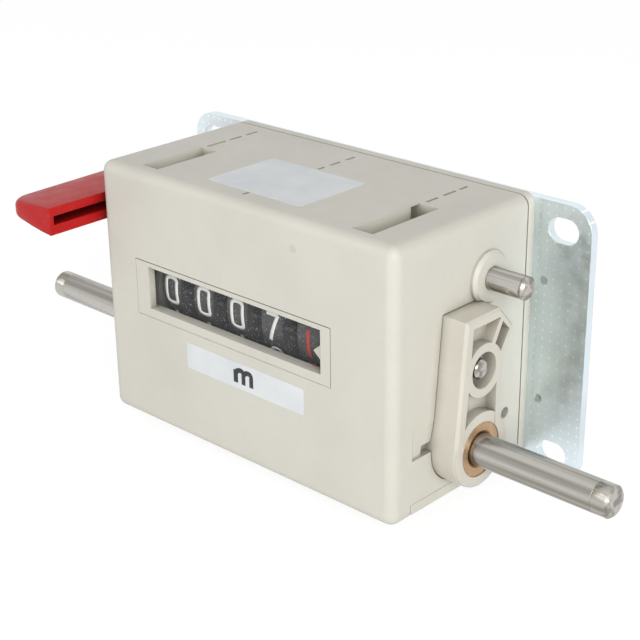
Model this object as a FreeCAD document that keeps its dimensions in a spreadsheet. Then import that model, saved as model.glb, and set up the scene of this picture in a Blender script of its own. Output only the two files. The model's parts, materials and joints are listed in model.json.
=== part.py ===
import FreeCAD, Part
import math
import os
import Sketcher

# Cable length counter: a mechanical metre counter with a printed-wheel register.
# A plastic front cover closes over a base frame that is screwed to a zinc-plated
# mounting plate.  The steel drive shaft runs right through and stands out at both ends.
# A gear on it turns the tenths wheel, and each number wheel turns the next one through
# a carry pinion.  A second, short shaft ends in the ribbed gear case on the right side.
# A red lever on the left swings the reset shaft against a return spring.
#
# Frame: X along the drive shaft, Y from the front face to the mounting plate, Z up.
# The origin is the middle of the mounting plate's back face.  Pieces are drawn in the
# housing's own coordinates, where X = 0 is the middle of the cover, Y = 0 its front
# face and Z = 0 its lower edge, and their placement moves them onto the plate.

doc = FreeCAD.newDocument("cable_length_counter")
sheet = doc.addObject("Spreadsheet::Sheet", "Sizes")

DRIVING_SIZES = [
    # housing
    ("cover_width", 87.7, "front cover across"),
    ("cover_height", 61.4, "front cover, lower edge to top"),
    ("cover_depth", 45.1, "front face to mounting plate"),
    ("cover_round", 2.5, "rounding of the housing's edges"),
    ("wall", 2.0, "wall of the cover"),
    ("rear_rim", 2.3, "rear wall of the base frame, seen behind the cover"),
    ("seam", 0.2, "gap at the parting lines"),
    ("cover_offset", 1.2, "middle of the cover from the middle of the plate"),
    ("cover_drop", 28.8, "lower edge of the cover below the middle of the plate"),
    ("tray_bottom", 1.35, "underside of the base tray"),
    ("tray_top", 3.55, "upper side of the base tray"),
    ("tray_front", 5.9, "front edge of the base tray"),
    # mounting plate
    ("plate_width", 119.0, "mounting plate across"),
    ("plate_height", 64.0, "mounting plate, height"),
    ("plate_thickness", 2.0, "mounting plate, sheet steel"),
    ("plate_corner", 6.0, "corner radius of the plate"),
    ("slot_length", 7.6, "fixing slot along X"),
    ("slot_width", 5.6, "fixing slot, height"),
    ("slot_pitch_across", 105.0, "fixing slots, centres along X"),
    ("slot_pitch_up", 52.0, "fixing slots, centres along Z"),
    ("screw_pitch_across", 50.0, "plate screws, centres along X"),
    ("screw_pitch_up", 43.0, "plate screws, centres along Z"),
    ("screw_radius", 1.5, "plate screw, thread"),
    ("screw_length", 7.5, "plate screw, whole length"),
    # window
    ("window_left", -30.6, "window opening, left side"),
    ("window_right", 22.3, "window opening, right side"),
    ("window_low", 29.3, "window opening, lower side"),
    ("window_high", 38.4, "window opening, upper side"),
    ("bezel_left", -33.2, "funnel round the window, left side"),
    ("bezel_right", 27.2, "funnel, right side"),
    ("bezel_low", 26.9, "funnel, lower side"),
    ("bezel_high", 40.6, "funnel, upper side"),
    ("funnel_depth", 2.0, "depth of the funnel"),
    ("lens_seat", 2.6, "front face of the lens behind the cover's face"),
    ("lens_thickness", 0.8, "clear lens"),
    ("pointer_length", 1.6, "pointer beside the last wheel"),
    ("pointer_height", 3.6, "pointer, height at its foot"),
    ("ramp_width", 4.8, "ramp in the top of the cover, across"),
    ("line_width", 0.7, "line in the top of the cover, across"),
    ("peephole_radius", 1.3, "small hole in the right side wall"),
    # drive shaft
    ("shaft_radius", 3.5, "drive shaft"),
    ("shaft_back", 20.9, "drive shaft behind the front face"),
    ("shaft_up", 13.0, "drive shaft above the lower edge"),
    ("shaft_left", -89.4, "left end of the drive shaft"),
    ("shaft_right", 82.8, "right end of the drive shaft"),
    ("shaft_chamfer", 0.6, "chamfer of the shaft ends"),
    ("fit", 0.05, "running fit, on the radius"),
    # gear case and bearings
    ("case_height", 6.2, "gear case in front of the side wall"),
    ("case_radius", 8.5, "gear case round the drive shaft"),
    ("case_flange", 2.0, "flange of the gear case inside the wall"),
    ("pocket_depth", 2.6, "pockets in the face of the gear case"),
    ("bush_radius", 6.1, "bronze bush, outside"),
    ("bush_recess", 0.2, "bush behind the face of its seat"),
    ("left_boss", 2.2, "left bearing in front of the side wall"),
    ("stub_back", 21.2, "second shaft behind the front face"),
    ("stub_radius", 2.15, "second shaft"),
    ("stub_recess", 0.6, "end of the second shaft behind the case face"),
    ("stub_ring", 5.9, "ring round the second shaft"),
    ("stub_bore", 3.95, "open bore round the second shaft"),
    # register
    ("wheel_radius", 13.7, "number wheel"),
    ("wheel_pitch", 10.67, "number wheels, centre to centre"),
    ("first_wheel", -25.7, "middle of the leftmost number wheel"),
    ("rim_width", 6.2, "printed rim of a number wheel"),
    ("wheel_back", 17.7, "wheel axle behind the front face"),
    ("axle_radius", 2.0, "wheel axle"),
    ("pinion_axle_radius", 1.25, "carry pinion axle"),
    ("plate_gauge", 2.0, "bearing plates inside"),
    ("left_plate", -38.0, "left bearing plate, outer side"),
    ("right_plate", 30.6, "right bearing plate, inner side"),
    # gears: modules, tooth numbers and face width
    ("drive_module", 0.7, "drive gear and tenths wheel gear"),
    ("drive_teeth", 20, "teeth of the drive gear"),
    ("tenths_teeth", 40, "teeth of the tenths wheel gear"),
    ("change_module", 0.75, "change gears"),
    ("change_teeth", 24, "teeth of both change gears"),
    ("carry_module", 1.15, "number wheel gears and carry pinions"),
    ("carry_teeth", 20, "teeth on the side of a number wheel"),
    ("pinion_teeth", 8, "teeth of a carry pinion"),
    ("gear_face", 3.0, "face width of the drive and change gears"),
    # reset
    ("reset_radius", 2.5, "reset shaft"),
    ("reset_back", 29.5, "reset shaft behind the front face"),
    ("reset_up", 47.4, "reset shaft above the lower edge"),
    ("reset_right", 54.3, "right end of the reset shaft"),
    ("collar_radius", 5.8, "moulded collar round the reset shaft"),
    ("collar_height", 1.3, "collar in front of the side wall"),
    ("lever_side", -46.5, "inner side of the reset lever"),
    ("lever_tip", -12.8, "tip of the lever in front of the cover"),
    ("lever_low", 45.9, "underside of the lever"),
    ("lever_high", 52.4, "upper side of the lever"),
    ("lever_width_tip", 11.0, "lever across at its tip"),
    ("lever_width_hub", 14.5, "lever across at its hub"),
]

for line, (alias, value, note) in enumerate(DRIVING_SIZES, start=1):
    sheet.set("A%d" % line, note)
    sheet.set("B%d" % line, str(value))
    sheet.setAlias("B%d" % line, alias)
doc.recompute()

S = "Sizes."
SIDE = S + "cover_width / 2"


def size(alias):
    """A driving size as a number."""
    return float(sheet.get(alias))


# Axes that follow from the driving sizes: the gears fix the distance between shafts.
drive_distance = size("drive_module") * (size("drive_teeth") + size("tenths_teeth")) / 2
change_distance = size("change_module") * size("change_teeth")
carry_distance = size("carry_module") * (size("carry_teeth") + size("pinion_teeth")) / 2
wheel_rise = math.sqrt(drive_distance ** 2 - (size("shaft_back") - size("wheel_back")) ** 2)
stub_rise = math.sqrt(change_distance ** 2 - (size("stub_back") - size("shaft_back")) ** 2)
SHAFT_AXIS = (size("shaft_back"), size("shaft_up"))
WHEEL_AXIS = (size("wheel_back"), size("shaft_up") + wheel_rise)
STUB_AXIS = (size("stub_back"), size("shaft_up") + stub_rise)
PINION_AXIS = (size("wheel_back") + carry_distance, WHEEL_AXIS[1])
RESET_AXIS = (size("reset_back"), size("reset_up"))

parts = []


def finish(piece, label):
    """Give a sub-part its name and hang it on the housing's place on the plate."""
    piece.Label = label
    parts.append(piece)
    return piece


def place(piece, along="0", back="0", up="0"):
    """Place a piece from the housing's coordinates onto the mounting plate."""
    depth = "(" + S + "cover_depth + " + S + "plate_thickness)"
    piece.setExpression("Placement.Base.x", S + "cover_offset + (" + along + ")")
    piece.setExpression("Placement.Base.y", "(" + back + ") - " + depth)
    piece.setExpression("Placement.Base.z", "(" + up + ") - " + S + "cover_drop")


def place_on_axis(piece, axis, along="0"):
    """Place a piece whose own X axis is its turning axis."""
    place(piece, along, "%.6f" % axis[0], "%.6f" % axis[1])


def new_body(name):
    return doc.addObject("PartDesign::Body", name)


def new_sketch(body, name, plane, offset="0"):
    """A sketch on one of the body's own origin planes, moved along its normal."""
    sketch = body.newObject("Sketcher::SketchObject", name)
    support = [item for item in body.Origin.OriginFeatures if item.Role == plane][0]
    sketch.AttachmentSupport = (support, [""])
    sketch.MapMode = "FlatFace"
    sketch.setExpression("AttachmentOffset.Base.z", offset)
    return sketch


def number(expression):
    """The value of a sheet expression or of a plain number."""
    return float(sheet.evalExpression(str(expression).replace(S, "")))


def hold(sketch, kind, args, expression):
    """One dimension of a sketch, driven by an expression."""
    index = sketch.addConstraint(Sketcher.Constraint(kind, *args, number(expression)))
    if S in str(expression):
        name = "held_%d" % index
        sketch.renameConstraint(index, name)
        sketch.setExpression("Constraints." + name, str(expression))


def polygon(sketch, corners):
    """A closed outline, each corner held at two expressions."""
    points = [FreeCAD.Vector(number(x), number(y), 0) for x, y in corners]
    first = sketch.GeometryCount
    count = len(points)
    for i in range(count):
        sketch.addGeometry(Part.LineSegment(points[i], points[(i + 1) % count]))
    for i in range(count):
        following = first + (i + 1) % count
        sketch.addConstraint(Sketcher.Constraint("Coincident", first + i, 2, following, 1))
    for i, (x, y) in enumerate(corners):
        hold(sketch, "DistanceX", (-1, 1, first + i, 1), x)
        hold(sketch, "DistanceY", (-1, 1, first + i, 1), y)


def rectangle(sketch, left, right, low, high):
    polygon(sketch, [(left, low), (right, low), (right, high), (left, high)])


def circle(sketch, x, y, radius):
    """A circle, its centre and radius held at expressions."""
    index = sketch.GeometryCount
    centre = FreeCAD.Vector(number(x), number(y), 0)
    sketch.addGeometry(Part.Circle(centre, FreeCAD.Vector(0, 0, 1), number(radius)))
    hold(sketch, "DistanceX", (-1, 1, index, 3), x)
    hold(sketch, "DistanceY", (-1, 1, index, 3), y)
    hold(sketch, "Radius", (index,), radius)


def feature(body, kind, name, sketch, length=None, reversed_=False, both=False, through=False):
    """A pad or pocket of one sketch."""
    item = body.newObject("PartDesign::" + kind, name)
    item.Profile = sketch
    if through:
        item.Type = 1
    else:
        item.setExpression("Length", length)
    item.Reversed = reversed_
    item.Midplane = both
    sketch.Visibility = False
    return item


def pad(body, name, sketch, length, reversed_=False, both=False):
    return feature(body, "Pad", name, sketch, length, reversed_, both)


def pocket(body, name, sketch, length=None, reversed_=False, both=False):
    """Cut a sketch out of the body and make sure that it did cut."""
    doc.recompute()
    before = body.Shape.Volume
    item = feature(body, "Pocket", name, sketch, length, reversed_, both, length is None)
    doc.recompute()
    if body.Shape.Volume > before - 1e-4:
        raise RuntimeError(body.Name + ": " + name + " cuts nothing")
    return item


def revolve(body, name, sketch):
    """Turn a profile round the body's X axis."""
    item = body.newObject("PartDesign::Revolution", name)
    item.Profile = sketch
    item.ReferenceAxis = (sketch, ["H_Axis"])
    item.Angle = 360
    return item


def loft(body, kind, name, sections):
    item = body.newObject("PartDesign::" + kind, name)
    item.Profile = sections[0]
    item.Sections = sections[1:]
    item.Ruled = True
    return item


def edges_where(body, test):
    """Names of the body's edges whose bounding box passes a test."""
    shape = body.Tip.Shape
    return ["Edge%d" % (i + 1) for i, edge in enumerate(shape.Edges) if test(edge.BoundBox)]


def dress(body, kind, name, edges, value, prop):
    """Fillet or chamfer edges of the last feature."""
    if not edges:
        raise RuntimeError(body.Name + ": " + name + " finds no edge")
    tip = body.Tip
    item = body.newObject("PartDesign::" + kind, name)
    item.Base = (tip, edges)
    item.setExpression(prop, value)
    doc.recompute()
    return item


def fillet(body, name, edges, radius):
    return dress(body, "Fillet", name, edges, radius, "Radius")


def chamfer(body, name, edges, value):
    return dress(body, "Chamfer", name, edges, value, "Size")


def near(a, b):
    return abs(a - b) < 1e-3


def turned(label, profile, axis):
    """A piece turned from one profile of (along, radius) corners."""
    body = new_body(label)
    outline = new_sketch(body, label + "_profile", "XY_Plane")
    polygon(outline, profile)
    revolve(body, label + "_turned", outline)
    place_on_axis(body, axis)
    return finish(body, label)


def sleeve(start, end, inner, outer):
    """Profile of a plain sleeve or ring."""
    return [(start, inner), (end, inner), (end, outer), (start, outer)]


def gear_points(module, teeth, phase, skip=0):
    """Outline of a spur gear, its flanks the chords of 20 degree involutes.
    With skip = 2, every second tooth is cut away down to the root."""
    pitch = module * teeth / 2
    base = pitch * math.cos(math.radians(20))
    tip = pitch + 0.9 * module
    root = pitch - 1.2 * module
    slack = 0.06 * module / pitch

    def half_angle(radius):
        flank = math.acos(min(1.0, base / radius))
        standard = math.radians(20)
        opening = math.tan(flank) - flank - (math.tan(standard) - standard)
        return math.pi / (2 * teeth) - opening - slack

    points = []
    for tooth in range(teeth):
        middle = phase + 2 * math.pi * tooth / teeth
        if skip and tooth % skip:
            steps = [(root, -half_angle(base)), (root, half_angle(base))]
        else:
            steps = [(root, -half_angle(base)), (tip, -half_angle(tip)),
                     (tip, half_angle(tip)), (root, half_angle(base))]
        for radius, angle in steps:
            x = radius * math.cos(middle + angle)
            y = radius * math.sin(middle + angle)
            points.append(FreeCAD.Vector(x, y, 0))
    return points


def gear_pad(body, name, start, length, module, teeth, phase, bore, skip=0):
    """A toothed disc on the body's own X axis, from start along X."""
    outline = new_sketch(body, name + "_teeth", "YZ_Plane", start)
    points = gear_points(module, teeth, phase, skip)
    for i, point in enumerate(points):
        outline.addGeometry(Part.LineSegment(point, points[(i + 1) % len(points)]))
    if bore:
        circle(outline, "0", "0", bore)
    return pad(body, name, outline, length)


def angle_to(start, end):
    return math.atan2(end[1] - start[1], end[0] - start[0])


def slot_outline(sketch, middle_x, middle_z):
    """A fixing slot along X with half-round ends."""
    first = sketch.GeometryCount
    x, z = number(middle_x), number(middle_z)
    radius = size("slot_width") / 2
    reach = size("slot_length") / 2 - radius
    up = FreeCAD.Vector(0, 0, 1)
    for side in (1, -1):
        centre = FreeCAD.Vector(x + side * reach, z, 0)
        start = -side * math.pi / 2
        sketch.addGeometry(Part.ArcOfCircle(Part.Circle(centre, up, radius), start,
                                            start + math.pi))
    for height in (1, -1):
        sketch.addGeometry(Part.LineSegment(
            FreeCAD.Vector(x + height * reach, z + height * radius, 0),
            FreeCAD.Vector(x - height * reach, z + height * radius, 0)))
    right, left, top, bottom = range(first, first + 4)
    for one, end, other, start in ((right, 2, top, 1), (top, 2, left, 1),
                                   (left, 2, bottom, 1), (bottom, 2, right, 1)):
        sketch.addConstraint(Sketcher.Constraint("Tangent", one, end, other, start))
    for arc, sign in ((right, " + "), (left, " - ")):
        hold(sketch, "DistanceX", (-1, 1, arc, 3),
             middle_x + sign + "(" + S + "slot_length - " + S + "slot_width) / 2")
    hold(sketch, "DistanceY", (-1, 1, right, 3), middle_z)
    hold(sketch, "Radius", (right,), S + "slot_width / 2")
    sketch.addConstraint(Sketcher.Constraint("Horizontal", top))


# Mounting plate: zinc-plated sheet steel with four fixing slots.
plate = new_body("mounting_plate")
outline = new_sketch(plate, "plate_outline", "XZ_Plane")
rectangle(outline, "-" + S + "plate_width / 2", S + "plate_width / 2",
          "-" + S + "plate_height / 2", S + "plate_height / 2")
pad(plate, "plate_sheet", outline, S + "plate_thickness")
doc.recompute()
fillet(plate, "plate_corners", edges_where(plate, lambda b: b.XLength < 0.1 and b.ZLength < 0.1),
       S + "plate_corner")
slots = new_sketch(plate, "slot_outlines", "XZ_Plane")
for across in (-1, 1):
    for up in (-1, 1):
        slot_outline(slots, "%d * %sslot_pitch_across / 2" % (across, S),
                     "%d * %sslot_pitch_up / 2" % (up, S))
pocket(plate, "slots", slots, None, True)
screw_holes = new_sketch(plate, "screw_hole_outlines", "XZ_Plane")
for across in (-1, 1):
    for up in (-1, 1):
        circle(screw_holes,
               "%sscrew_pitch_across / 2 * %d + %scover_offset" % (S, across, S),
               "%sscrew_pitch_up / 2 * %d + 1.5" % (S, up), S + "screw_radius + 0.1")
pocket(plate, "screw_holes", screw_holes, None, True)
chamfer(plate, "screw_sinks",
        edges_where(plate, lambda b: near(b.YMin, 0) and near(b.YMax, 0)
                    and near(b.XLength, 2 * size("screw_radius") + 0.2)),
        S + "plate_thickness - 0.6")
finish(plate, "mounting_plate")

# Plate screws: four countersunk screws from behind, flush with the back of the plate.
screw_solids = []
for across in (-1, 1):
    for up in (-1, 1):
        head = doc.addObject("Part::Cone", "screw_head")
        head.setExpression("Radius1", S + "screw_radius + " + S + "plate_thickness - 0.7")
        head.setExpression("Radius2", S + "screw_radius")
        head.setExpression("Height", S + "plate_thickness - 0.7")
        stem = doc.addObject("Part::Cylinder", "screw_stem")
        stem.setExpression("Radius", S + "screw_radius")
        stem.setExpression("Height", S + "screw_length")
        screw = doc.addObject("Part::Fuse", "screw")
        screw.Base = head
        screw.Tool = stem
        spot = FreeCAD.Vector(across * size("screw_pitch_across") / 2 + size("cover_offset"),
                              0, up * size("screw_pitch_up") / 2 + 1.5)
        screw.Placement = FreeCAD.Placement(spot, FreeCAD.Rotation(FreeCAD.Vector(1, 0, 0), 90))
        screw_solids.append(screw)
screws = doc.addObject("Part::Compound", "plate_screws")
screws.Links = screw_solids
finish(screws, "plate_screws")

# Base frame: rear wall, a lip that the cover fits round, tray and screw bosses.
base = new_body("base_frame")
wall_face = new_sketch(base, "rear_outline", "XZ_Plane", "-" + S + "cover_depth")
rectangle(wall_face, "-" + SIDE, SIDE, S + "tray_bottom", S + "cover_height")
pad(base, "rear_wall", wall_face, S + "rear_rim - " + S + "seam")
doc.recompute()
fillet(base, "rear_corners", edges_where(base, lambda b: b.XLength < 0.1 and b.ZLength < 0.1
                                         and b.ZMin > 10), S + "cover_round")
rear_face = "-" + S + "cover_depth + " + S + "rear_rim"
inner_side = SIDE + " - " + S + "wall - 0.05"
lip = new_sketch(base, "lip_outline", "XZ_Plane", rear_face)
lip_top = S + "cover_height - " + S + "wall - 0.05"
rectangle(lip, "-(" + inner_side + ")", inner_side, S + "tray_bottom", lip_top)
rectangle(lip, "-(" + inner_side + " - 1.6)", inner_side + " - 1.6",
          S + "tray_bottom + 1.6", lip_top + " - 1.6")
pad(base, "lip", lip, "2.5")
join = new_sketch(base, "lip_foot_outline", "XZ_Plane", rear_face + " - " + S + "seam - 0.1")
rectangle(join, "-(" + inner_side + ")", inner_side, S + "tray_bottom", lip_top)
pad(base, "lip_foot", join, S + "seam + 0.1")
tray = new_sketch(base, "tray_outline", "XY_Plane", S + "tray_bottom")
rectangle(tray, "-" + SIDE, SIDE, S + "tray_front", S + "cover_depth - " + S + "rear_rim + 0.1")
pad(base, "tray", tray, S + "tray_top - " + S + "tray_bottom")
tongue = new_sketch(base, "tongue_outline", "XY_Plane", S + "tray_bottom")
rectangle(tongue, "-(" + inner_side + ")", inner_side, S + "wall + 0.05",
          S + "tray_front + 0.1")
pad(base, "tongue", tongue, S + "tray_top - " + S + "tray_bottom")
bosses = new_sketch(base, "boss_outlines", "XZ_Plane", rear_face + " - 0.2")
boss_low = S + "cover_drop + 1.5 - " + S + "screw_pitch_up / 2"
boss_high = S + "cover_drop + 1.5 + " + S + "screw_pitch_up / 2"
for across in (-1, 1):
    for height in (boss_low, boss_high):
        middle = "%d * %sscrew_pitch_across / 2" % (across, S)
        rectangle(bosses, middle + " - 3", middle + " + 3", height + " - 3", height + " + 3")
pad(base, "bosses", bosses, "4.5")
gear_pit = new_sketch(base, "gear_pit_outline", "XY_Plane", S + "tray_top - 0.7")
rectangle(gear_pit, "33.5", SIDE + " - " + S + "wall", "10", "32")
pocket(base, "gear_pit", gear_pit, "5", True)
holes = new_sketch(base, "boss_hole_outlines", "XZ_Plane", "-" + S + "cover_depth")
for across in (-1, 1):
    for height in (boss_low, boss_high):
        circle(holes, "%d * %sscrew_pitch_across / 2" % (across, S), height,
               S + "screw_radius + 0.02")
pocket(base, "boss_holes", holes, S + "screw_length", True)
place(base)
finish(base, "base_frame")


# Front cover: moulded shell with rounded edges, the window funnel and the lens seat.
cover = new_body("front_cover")
cover_back = S + "cover_depth - " + S + "rear_rim - " + S + "seam"
outline = new_sketch(cover, "cover_outline", "XZ_Plane")
rectangle(outline, "-" + SIDE, SIDE, "0", S + "cover_height")
pad(cover, "cover_block", outline, cover_back, True)
doc.recompute()
fillet(cover, "cover_rounding",
       edges_where(cover, lambda b: near(b.YMin, 0) or b.YLength > 10), S + "cover_round")
hollow = new_sketch(cover, "hollow_outline", "XZ_Plane", "-" + S + "wall")
rectangle(hollow, "-" + SIDE + " + " + S + "wall", SIDE + " - " + S + "wall", "-5",
          S + "cover_height - " + S + "wall")
pocket(cover, "hollow", hollow)
side_foot = new_sketch(cover, "side_foot_outline", "YZ_Plane")
rectangle(side_foot, S + "tray_front - 0.1", S + "cover_depth", "-5", S + "tray_top + 0.05")
pocket(cover, "side_foot", side_foot, S + "cover_width + 2", False, True)
frame = new_sketch(cover, "window_frame_outline", "XZ_Plane",
                   "-" + S + "lens_seat - " + S + "lens_thickness")
rectangle(frame, S + "window_left - 2.2", S + "window_right + 2.2", S + "window_low - 2.2",
          S + "window_high + 2.2")
pad(cover, "window_frame", frame, S + "lens_seat + " + S + "lens_thickness - 1")
funnel_face = new_sketch(cover, "funnel_face", "XZ_Plane")
rectangle(funnel_face, S + "bezel_left", S + "bezel_right", S + "bezel_low", S + "bezel_high")
funnel_floor = new_sketch(cover, "funnel_floor", "XZ_Plane", "-" + S + "funnel_depth")
rectangle(funnel_floor, S + "window_left", S + "window_right", S + "window_low",
          S + "window_high")
loft(cover, "SubtractiveLoft", "funnel", [funnel_face, funnel_floor])
opening = new_sketch(cover, "window_outline", "XZ_Plane", "-" + S + "funnel_depth + 0.5")
rectangle(opening, S + "window_left", S + "window_right", S + "window_low", S + "window_high")
pocket(cover, "window", opening)
seat = new_sketch(cover, "lens_seat_outline", "XZ_Plane", "-" + S + "lens_seat")
rectangle(seat, S + "window_left - 1", S + "window_right + 1", S + "window_low - 1",
          S + "window_high + 1")
pocket(cover, "lens_seat_step", seat)
pointer = new_sketch(cover, "pointer_outline", "XZ_Plane", "-" + S + "lens_seat")
pointer_middle = "(" + S + "window_low + " + S + "window_high) / 2 - 0.6"
polygon(pointer, [(S + "window_right + 0.5", pointer_middle + " - " + S + "pointer_height / 2"),
                  (S + "window_right + 0.5", pointer_middle + " + " + S + "pointer_height / 2"),
                  (S + "window_right - " + S + "pointer_length", pointer_middle)])
pad(cover, "pointer", pointer, "0.9")

TOP_LINES = [(30.0, 25.0, 29.6), (30.0, 31.4, 35.6), (30.0, 36.7, 39.4), (-2.0, 27.4, 29.4),
             (-2.0, 31.3, 34.5), (-2.0, 36.4, 39.4), (-2.0, 4.4, 6.2), (-33.2, 22.6, 29.0),
             (-33.2, 30.4, 34.2), (-33.2, 35.6, 39.4)]

# Two ramps in the top with a steep end, over the snap hooks of the base frame.
for name, left in (("ramp_left", "-33.1"), ("ramp_right", "30.1")):
    ramp = new_sketch(cover, name + "_outline", "YZ_Plane", left)
    polygon(ramp, [("3.5", S + "cover_height + 0.01"), ("22", S + "cover_height + 0.01"),
                   ("22", S + "cover_height - 1.1")])
    pocket(cover, name, ramp, S + "ramp_width", True)

# Shallow lines in the top, where the mould's inserts meet over the ribs inside.
lines = new_sketch(cover, "top_line_outlines", "XY_Plane", S + "cover_height + 0.01")
for across, start, end in TOP_LINES:
    rectangle(lines, "%.2f" % across, "%.2f + %sline_width" % (across, S), "%.2f" % start,
              "%.2f" % end)
pocket(cover, "top_lines", lines, "0.36")

# Moulded collars round the reset shaft on both side walls.
for name, side, plane_side in (("right", SIDE, False), ("left", "-" + SIDE, True)):
    collar = new_sketch(cover, "collar_" + name, "YZ_Plane", side + (" + 0.5" if plane_side
                                                                     else " - 0.5"))
    circle(collar, S + "reset_back", S + "reset_up", S + "collar_radius")
    pad(cover, "collar_pad_" + name, collar, S + "collar_height + 0.5", plane_side)
doc.recompute()
chamfer(cover, "collar_bevel",
       edges_where(cover, lambda b: b.XLength < 0.01
                   and near(abs(b.XMin), size("cover_width") / 2 + size("collar_height"))),
       "0.7")
reset_hole = new_sketch(cover, "reset_hole_outline", "YZ_Plane")
circle(reset_hole, S + "reset_back", S + "reset_up", S + "reset_radius + " + S + "fit")
pocket(cover, "reset_hole", reset_hole, S + "cover_width + 10", False, True)

# Openings for the gear case on the right and the bearing on the left.
CASE_CORNERS = [(15.2, 43.2), (26.3, 43.2), (30.9, 38.0), (27.1, 32.2), (27.1, 13.0),
                (12.4, 13.0)]


def grown(corners, by):
    """The outline moved outwards by a distance, corners kept sharp."""
    result = []
    count = len(corners)
    for i in range(count):
        before, here, after = corners[i - 1], corners[i], corners[(i + 1) % count]
        one = angle_to(before, here) + math.pi / 2
        two = angle_to(here, after) + math.pi / 2
        middle = (one + two) / 2
        if abs(two - one) > math.pi:
            middle += math.pi
        reach = by / math.cos((two - one) / 2)
        result.append((here[0] + abs(reach) * math.cos(middle),
                       here[1] + abs(reach) * math.sin(middle)))
    return result


def case_outline(body, name, offset, growth):
    """The straight-sided upper part of the gear case, down to the drive shaft."""
    sketch = new_sketch(body, name, "YZ_Plane", offset)
    polygon(sketch, grown(CASE_CORNERS, growth)[:4]
            + [(27.1 + growth, 13.0), (12.4 - growth, 13.0)])
    return sketch


wall_inside = SIDE + " - " + S + "wall - 0.5"
pocket(cover, "case_opening",
       case_outline(cover, "case_opening_outline", wall_inside, size("seam")),
       S + "wall + " + S + "collar_height + 1", True)
round_opening = new_sketch(cover, "case_round_outline", "YZ_Plane", wall_inside)
circle(round_opening, S + "shaft_back", S + "shaft_up", S + "case_radius + " + S + "seam")
pocket(cover, "case_round_opening", round_opening, S + "wall + 1", True)
left_opening = new_sketch(cover, "left_opening_outline", "YZ_Plane", "-(" + wall_inside + ")")
circle(left_opening, S + "shaft_back", S + "shaft_up", S + "case_radius + " + S + "seam")
pocket(cover, "left_opening", left_opening, S + "wall + 1")

peephole = new_sketch(cover, "peephole_outline", "YZ_Plane", wall_inside)
circle(peephole, "37.4", "13.2", S + "peephole_radius")
pocket(cover, "peephole", peephole, S + "wall + 1", True)

# Snap window beside the gear case, with a short ramp in front of it.
snap = new_sketch(cover, "snap_outline", "YZ_Plane", wall_inside)
rectangle(snap, "9.5", "13", "13.7", "15.9")
pocket(cover, "snap_window", snap, S + "wall + 1", True)
snap_ramp = new_sketch(cover, "snap_ramp_outline", "XZ_Plane", "-13")
polygon(snap_ramp, [(SIDE + " + 0.01", "21"), (SIDE + " + 0.01", "13.7"),
                    (SIDE + " - 0.7", "13.7")])
pocket(cover, "snap_ramp", snap_ramp, "6.8", True)
place(cover)
finish(cover, "front_cover")

# Window lens: a clear sheet seated behind the step of the window.
lens = doc.addObject("Part::Box", "window_lens")
lens.setExpression("Length", S + "window_right - " + S + "window_left + 1.8")
lens.setExpression("Width", S + "lens_thickness")
lens.setExpression("Height", S + "window_high - " + S + "window_low + 1.8")
place(lens, S + "window_left - 0.9", S + "lens_seat", S + "window_low - 0.9")
finish(lens, "window_lens")

# Gear case: the ribbed boss on the right side, with the drive shaft's bush below and
# the open bore of the second shaft above.
CASE_FACE = SIDE + " + " + S + "case_height"
case = new_body("gear_case")
flange_start = SIDE + " - " + S + "wall - " + S + "case_flange"
pad(case, "case_flange_pad", case_outline(case, "flange_outline", flange_start, 2.2),
    S + "case_flange")
flange_round = new_sketch(case, "flange_round_outline", "YZ_Plane", flange_start)
circle(flange_round, S + "shaft_back", S + "shaft_up", S + "case_radius + 1")
pad(case, "case_flange_round", flange_round, S + "case_flange")
pad(case, "case_upper", case_outline(case, "case_upper_outline", flange_start, 0),
    S + "case_flange + " + S + "wall + " + S + "case_height")
case_round = new_sketch(case, "case_round_outline", "YZ_Plane", flange_start)
circle(case_round, S + "shaft_back", S + "shaft_up", S + "case_radius")
pad(case, "case_lower", case_round, S + "case_flange + " + S + "wall + " + S + "case_height")
doc.recompute()
face_x = number(CASE_FACE)
chamfer(case, "case_bevel",
        edges_where(case, lambda b: near(b.XMin, face_x) and near(b.XMax, face_x)), "0.6")
floor = CASE_FACE + " - " + S + "pocket_depth"
pockets = new_sketch(case, "pocket_outline", "YZ_Plane", floor)
polygon(pockets, [("17.3", "41.2"), ("25.9", "41.2"), ("29.2", "37.7"), ("25.5", "31.7"),
                  ("25.5", "16"), ("15.0", "16"), ("16.2", "27")])
pocket(case, "face_pocket", pockets, S + "pocket_depth + 1", True)
rings = new_sketch(case, "ring_outlines", "YZ_Plane", floor + " - 0.5")
circle(rings, S + "stub_back", "%.6f" % STUB_AXIS[1], S + "stub_ring")
pad(case, "upper_ring", rings, S + "pocket_depth + 0.5")
lower_ring = new_sketch(case, "lower_ring_outline", "YZ_Plane", floor + " - 0.5")
circle(lower_ring, S + "shaft_back", S + "shaft_up", S + "case_radius - 0.1")
pad(case, "lower_ring", lower_ring, S + "pocket_depth + 0.4")
rib_angle = math.radians(61.0)
rib_reach = 11.0
rib_half = 0.6
rib = new_sketch(case, "rib_outline", "YZ_Plane", floor + " - 0.5")
rib_corners = []
for along, aside in ((4.5, -1), (rib_reach, -1), (rib_reach, 1), (4.5, 1)):
    rib_corners.append((STUB_AXIS[0] + along * math.cos(rib_angle)
                        - aside * rib_half * math.sin(rib_angle),
                        STUB_AXIS[1] + along * math.sin(rib_angle)
                        + aside * rib_half * math.cos(rib_angle)))
polygon(rib, rib_corners)
pad(case, "rib", rib, S + "pocket_depth + 0.5")
stub_bore = new_sketch(case, "stub_bore_outline", "YZ_Plane", CASE_FACE + " - 3.5")
circle(stub_bore, S + "stub_back", "%.6f" % STUB_AXIS[1], S + "stub_bore")
pocket(case, "stub_bore", stub_bore, "4.5", True)
stub_bearing = new_sketch(case, "stub_bearing_outline", "YZ_Plane", flange_start + " - 1")
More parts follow.
